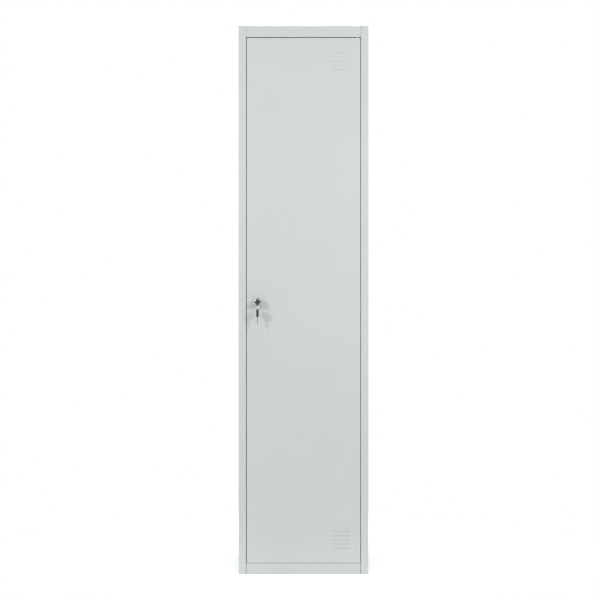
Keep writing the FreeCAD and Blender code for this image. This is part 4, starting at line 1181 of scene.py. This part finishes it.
def floor_paint(tree, place):
    """Matt white floor paint, with a slight mottle."""
    first, second, result = MIX_SOCKETS["RGBA"]
    mottle = add(tree, "ShaderNodeTexNoise", {"Vector": place, "Scale": 1 / MOTTLE}).outputs["Fac"]
    shades = {"Factor": mottle, first: linear("F4F4F4"), second: linear("F8F8F8")}
    tint = add(tree, "ShaderNodeMix", shades, data_type="RGBA")
    return {"Base Color": tint.outputs[result], "Roughness": 0.9}


floor = piece_of(
    "floor",
    mesh_of(
        lambda bm: bmesh.ops.create_circle(
            bm,
            cap_ends=True,
            segments=96,
            radius=FLOOR_RADIUS,
            matrix=Matrix.Translation(FLOOR_MIDDLE),
        )
    ),
)
floor.data.materials.append(material("floor paint", None, floor_paint))

surround = bpy.data.worlds.new("surround")
bpy.context.scene.world = surround
surround.use_nodes = True
sky = surround.node_tree
sky.nodes.clear()
seen = add(sky, "ShaderNodeLightPath").outputs["Is Camera Ray"]
direction = add(sky, "ShaderNodeTexCoord").outputs["Generated"]
height = add(sky, "ShaderNodeSeparateXYZ", {"Vector": direction}).outputs["Z"]
ceiling = add(
    sky,
    "ShaderNodeMapRange",
    {"Value": height, "From Min": 0.08, "From Max": 0.7, "To Min": CAMERA_SIDE, "To Max": CEILING},
    interpolation_type="SMOOTHSTEP",
)
ground = add(
    sky,
    "ShaderNodeMapRange",
    {"Value": height, "From Min": -0.3, "From Max": -0.12, "To Min": GROUND, "To Max": 0.0},
    interpolation_type="SMOOTHSTEP",
)
light = {0: ceiling.outputs["Result"], 1: ground.outputs["Result"]}
both = add(sky, "ShaderNodeMath", light, operation="ADD")
first, second, result = MIX_SOCKETS["FLOAT"]
seen_or_lit = {"Factor": seen, first: both.outputs[0], second: 1.0}
glow = add(sky, "ShaderNodeMix", seen_or_lit, data_type="FLOAT").outputs[result]
backdrop = add(sky, "ShaderNodeBackground", {"Color": (1, 1, 1, 1), "Strength": glow})
add(sky, "ShaderNodeOutputWorld", {"Surface": backdrop.outputs["Background"]})

BOX_FRONT = -1.75
BOX_HEIGHT = 1.65
BOX_SIZE = (0.3, 0.32)
AIM = Vector((0, FRONT, TOP / 2))


def soft_box(name, side, power):
    """A small soft box in front of the locker, turned to the middle of its front."""
    lamp = bpy.data.lights.new(name, "AREA")
    lamp.shape = "RECTANGLE"
    lamp.size, lamp.size_y = BOX_SIZE
    lamp.energy = power
    stand = bpy.data.objects.new(name, lamp)
    stand.location = (side, BOX_FRONT, BOX_HEIGHT)
    stand.rotation_euler = (AIM - stand.location).to_track_quat("-Z", "Y").to_euler()
    bpy.context.scene.collection.objects.link(stand)


soft_box("soft_box_left", side=-1.8, power=17.5)
soft_box("soft_box_right", side=1.5, power=15.8)

overhead = bpy.data.lights.new("overhead", "SUN")
overhead.energy = 2.7
overhead.angle = math.radians(30)
bpy.context.scene.collection.objects.link(bpy.data.objects.new("overhead", overhead))

# The view is this many pixels a side, each shows this much of the locker's front, and the front's
# middle stands at this pixel, a little right of the view's own.
FRAME = 600
PIXEL = 3.466 * MM
DISTANCE = 6.0
MIDDLE = (303.5, 300.1)
camera = bpy.data.cameras.new("camera")
camera.sensor_width = 36.0
camera.lens = camera.sensor_width * DISTANCE / (FRAME * PIXEL)
viewer = bpy.data.objects.new("camera", camera)
viewer.location = (
    (FRAME / 2 - MIDDLE[0]) * PIXEL,
    FRONT - DISTANCE,
    TOP / 2 - (FRAME / 2 - MIDDLE[1]) * PIXEL,
)
viewer.rotation_euler = (math.pi / 2, 0, 0)
bpy.context.scene.collection.objects.link(viewer)
bpy.context.scene.camera = viewer
bpy.context.scene.view_settings.view_transform = "Standard"
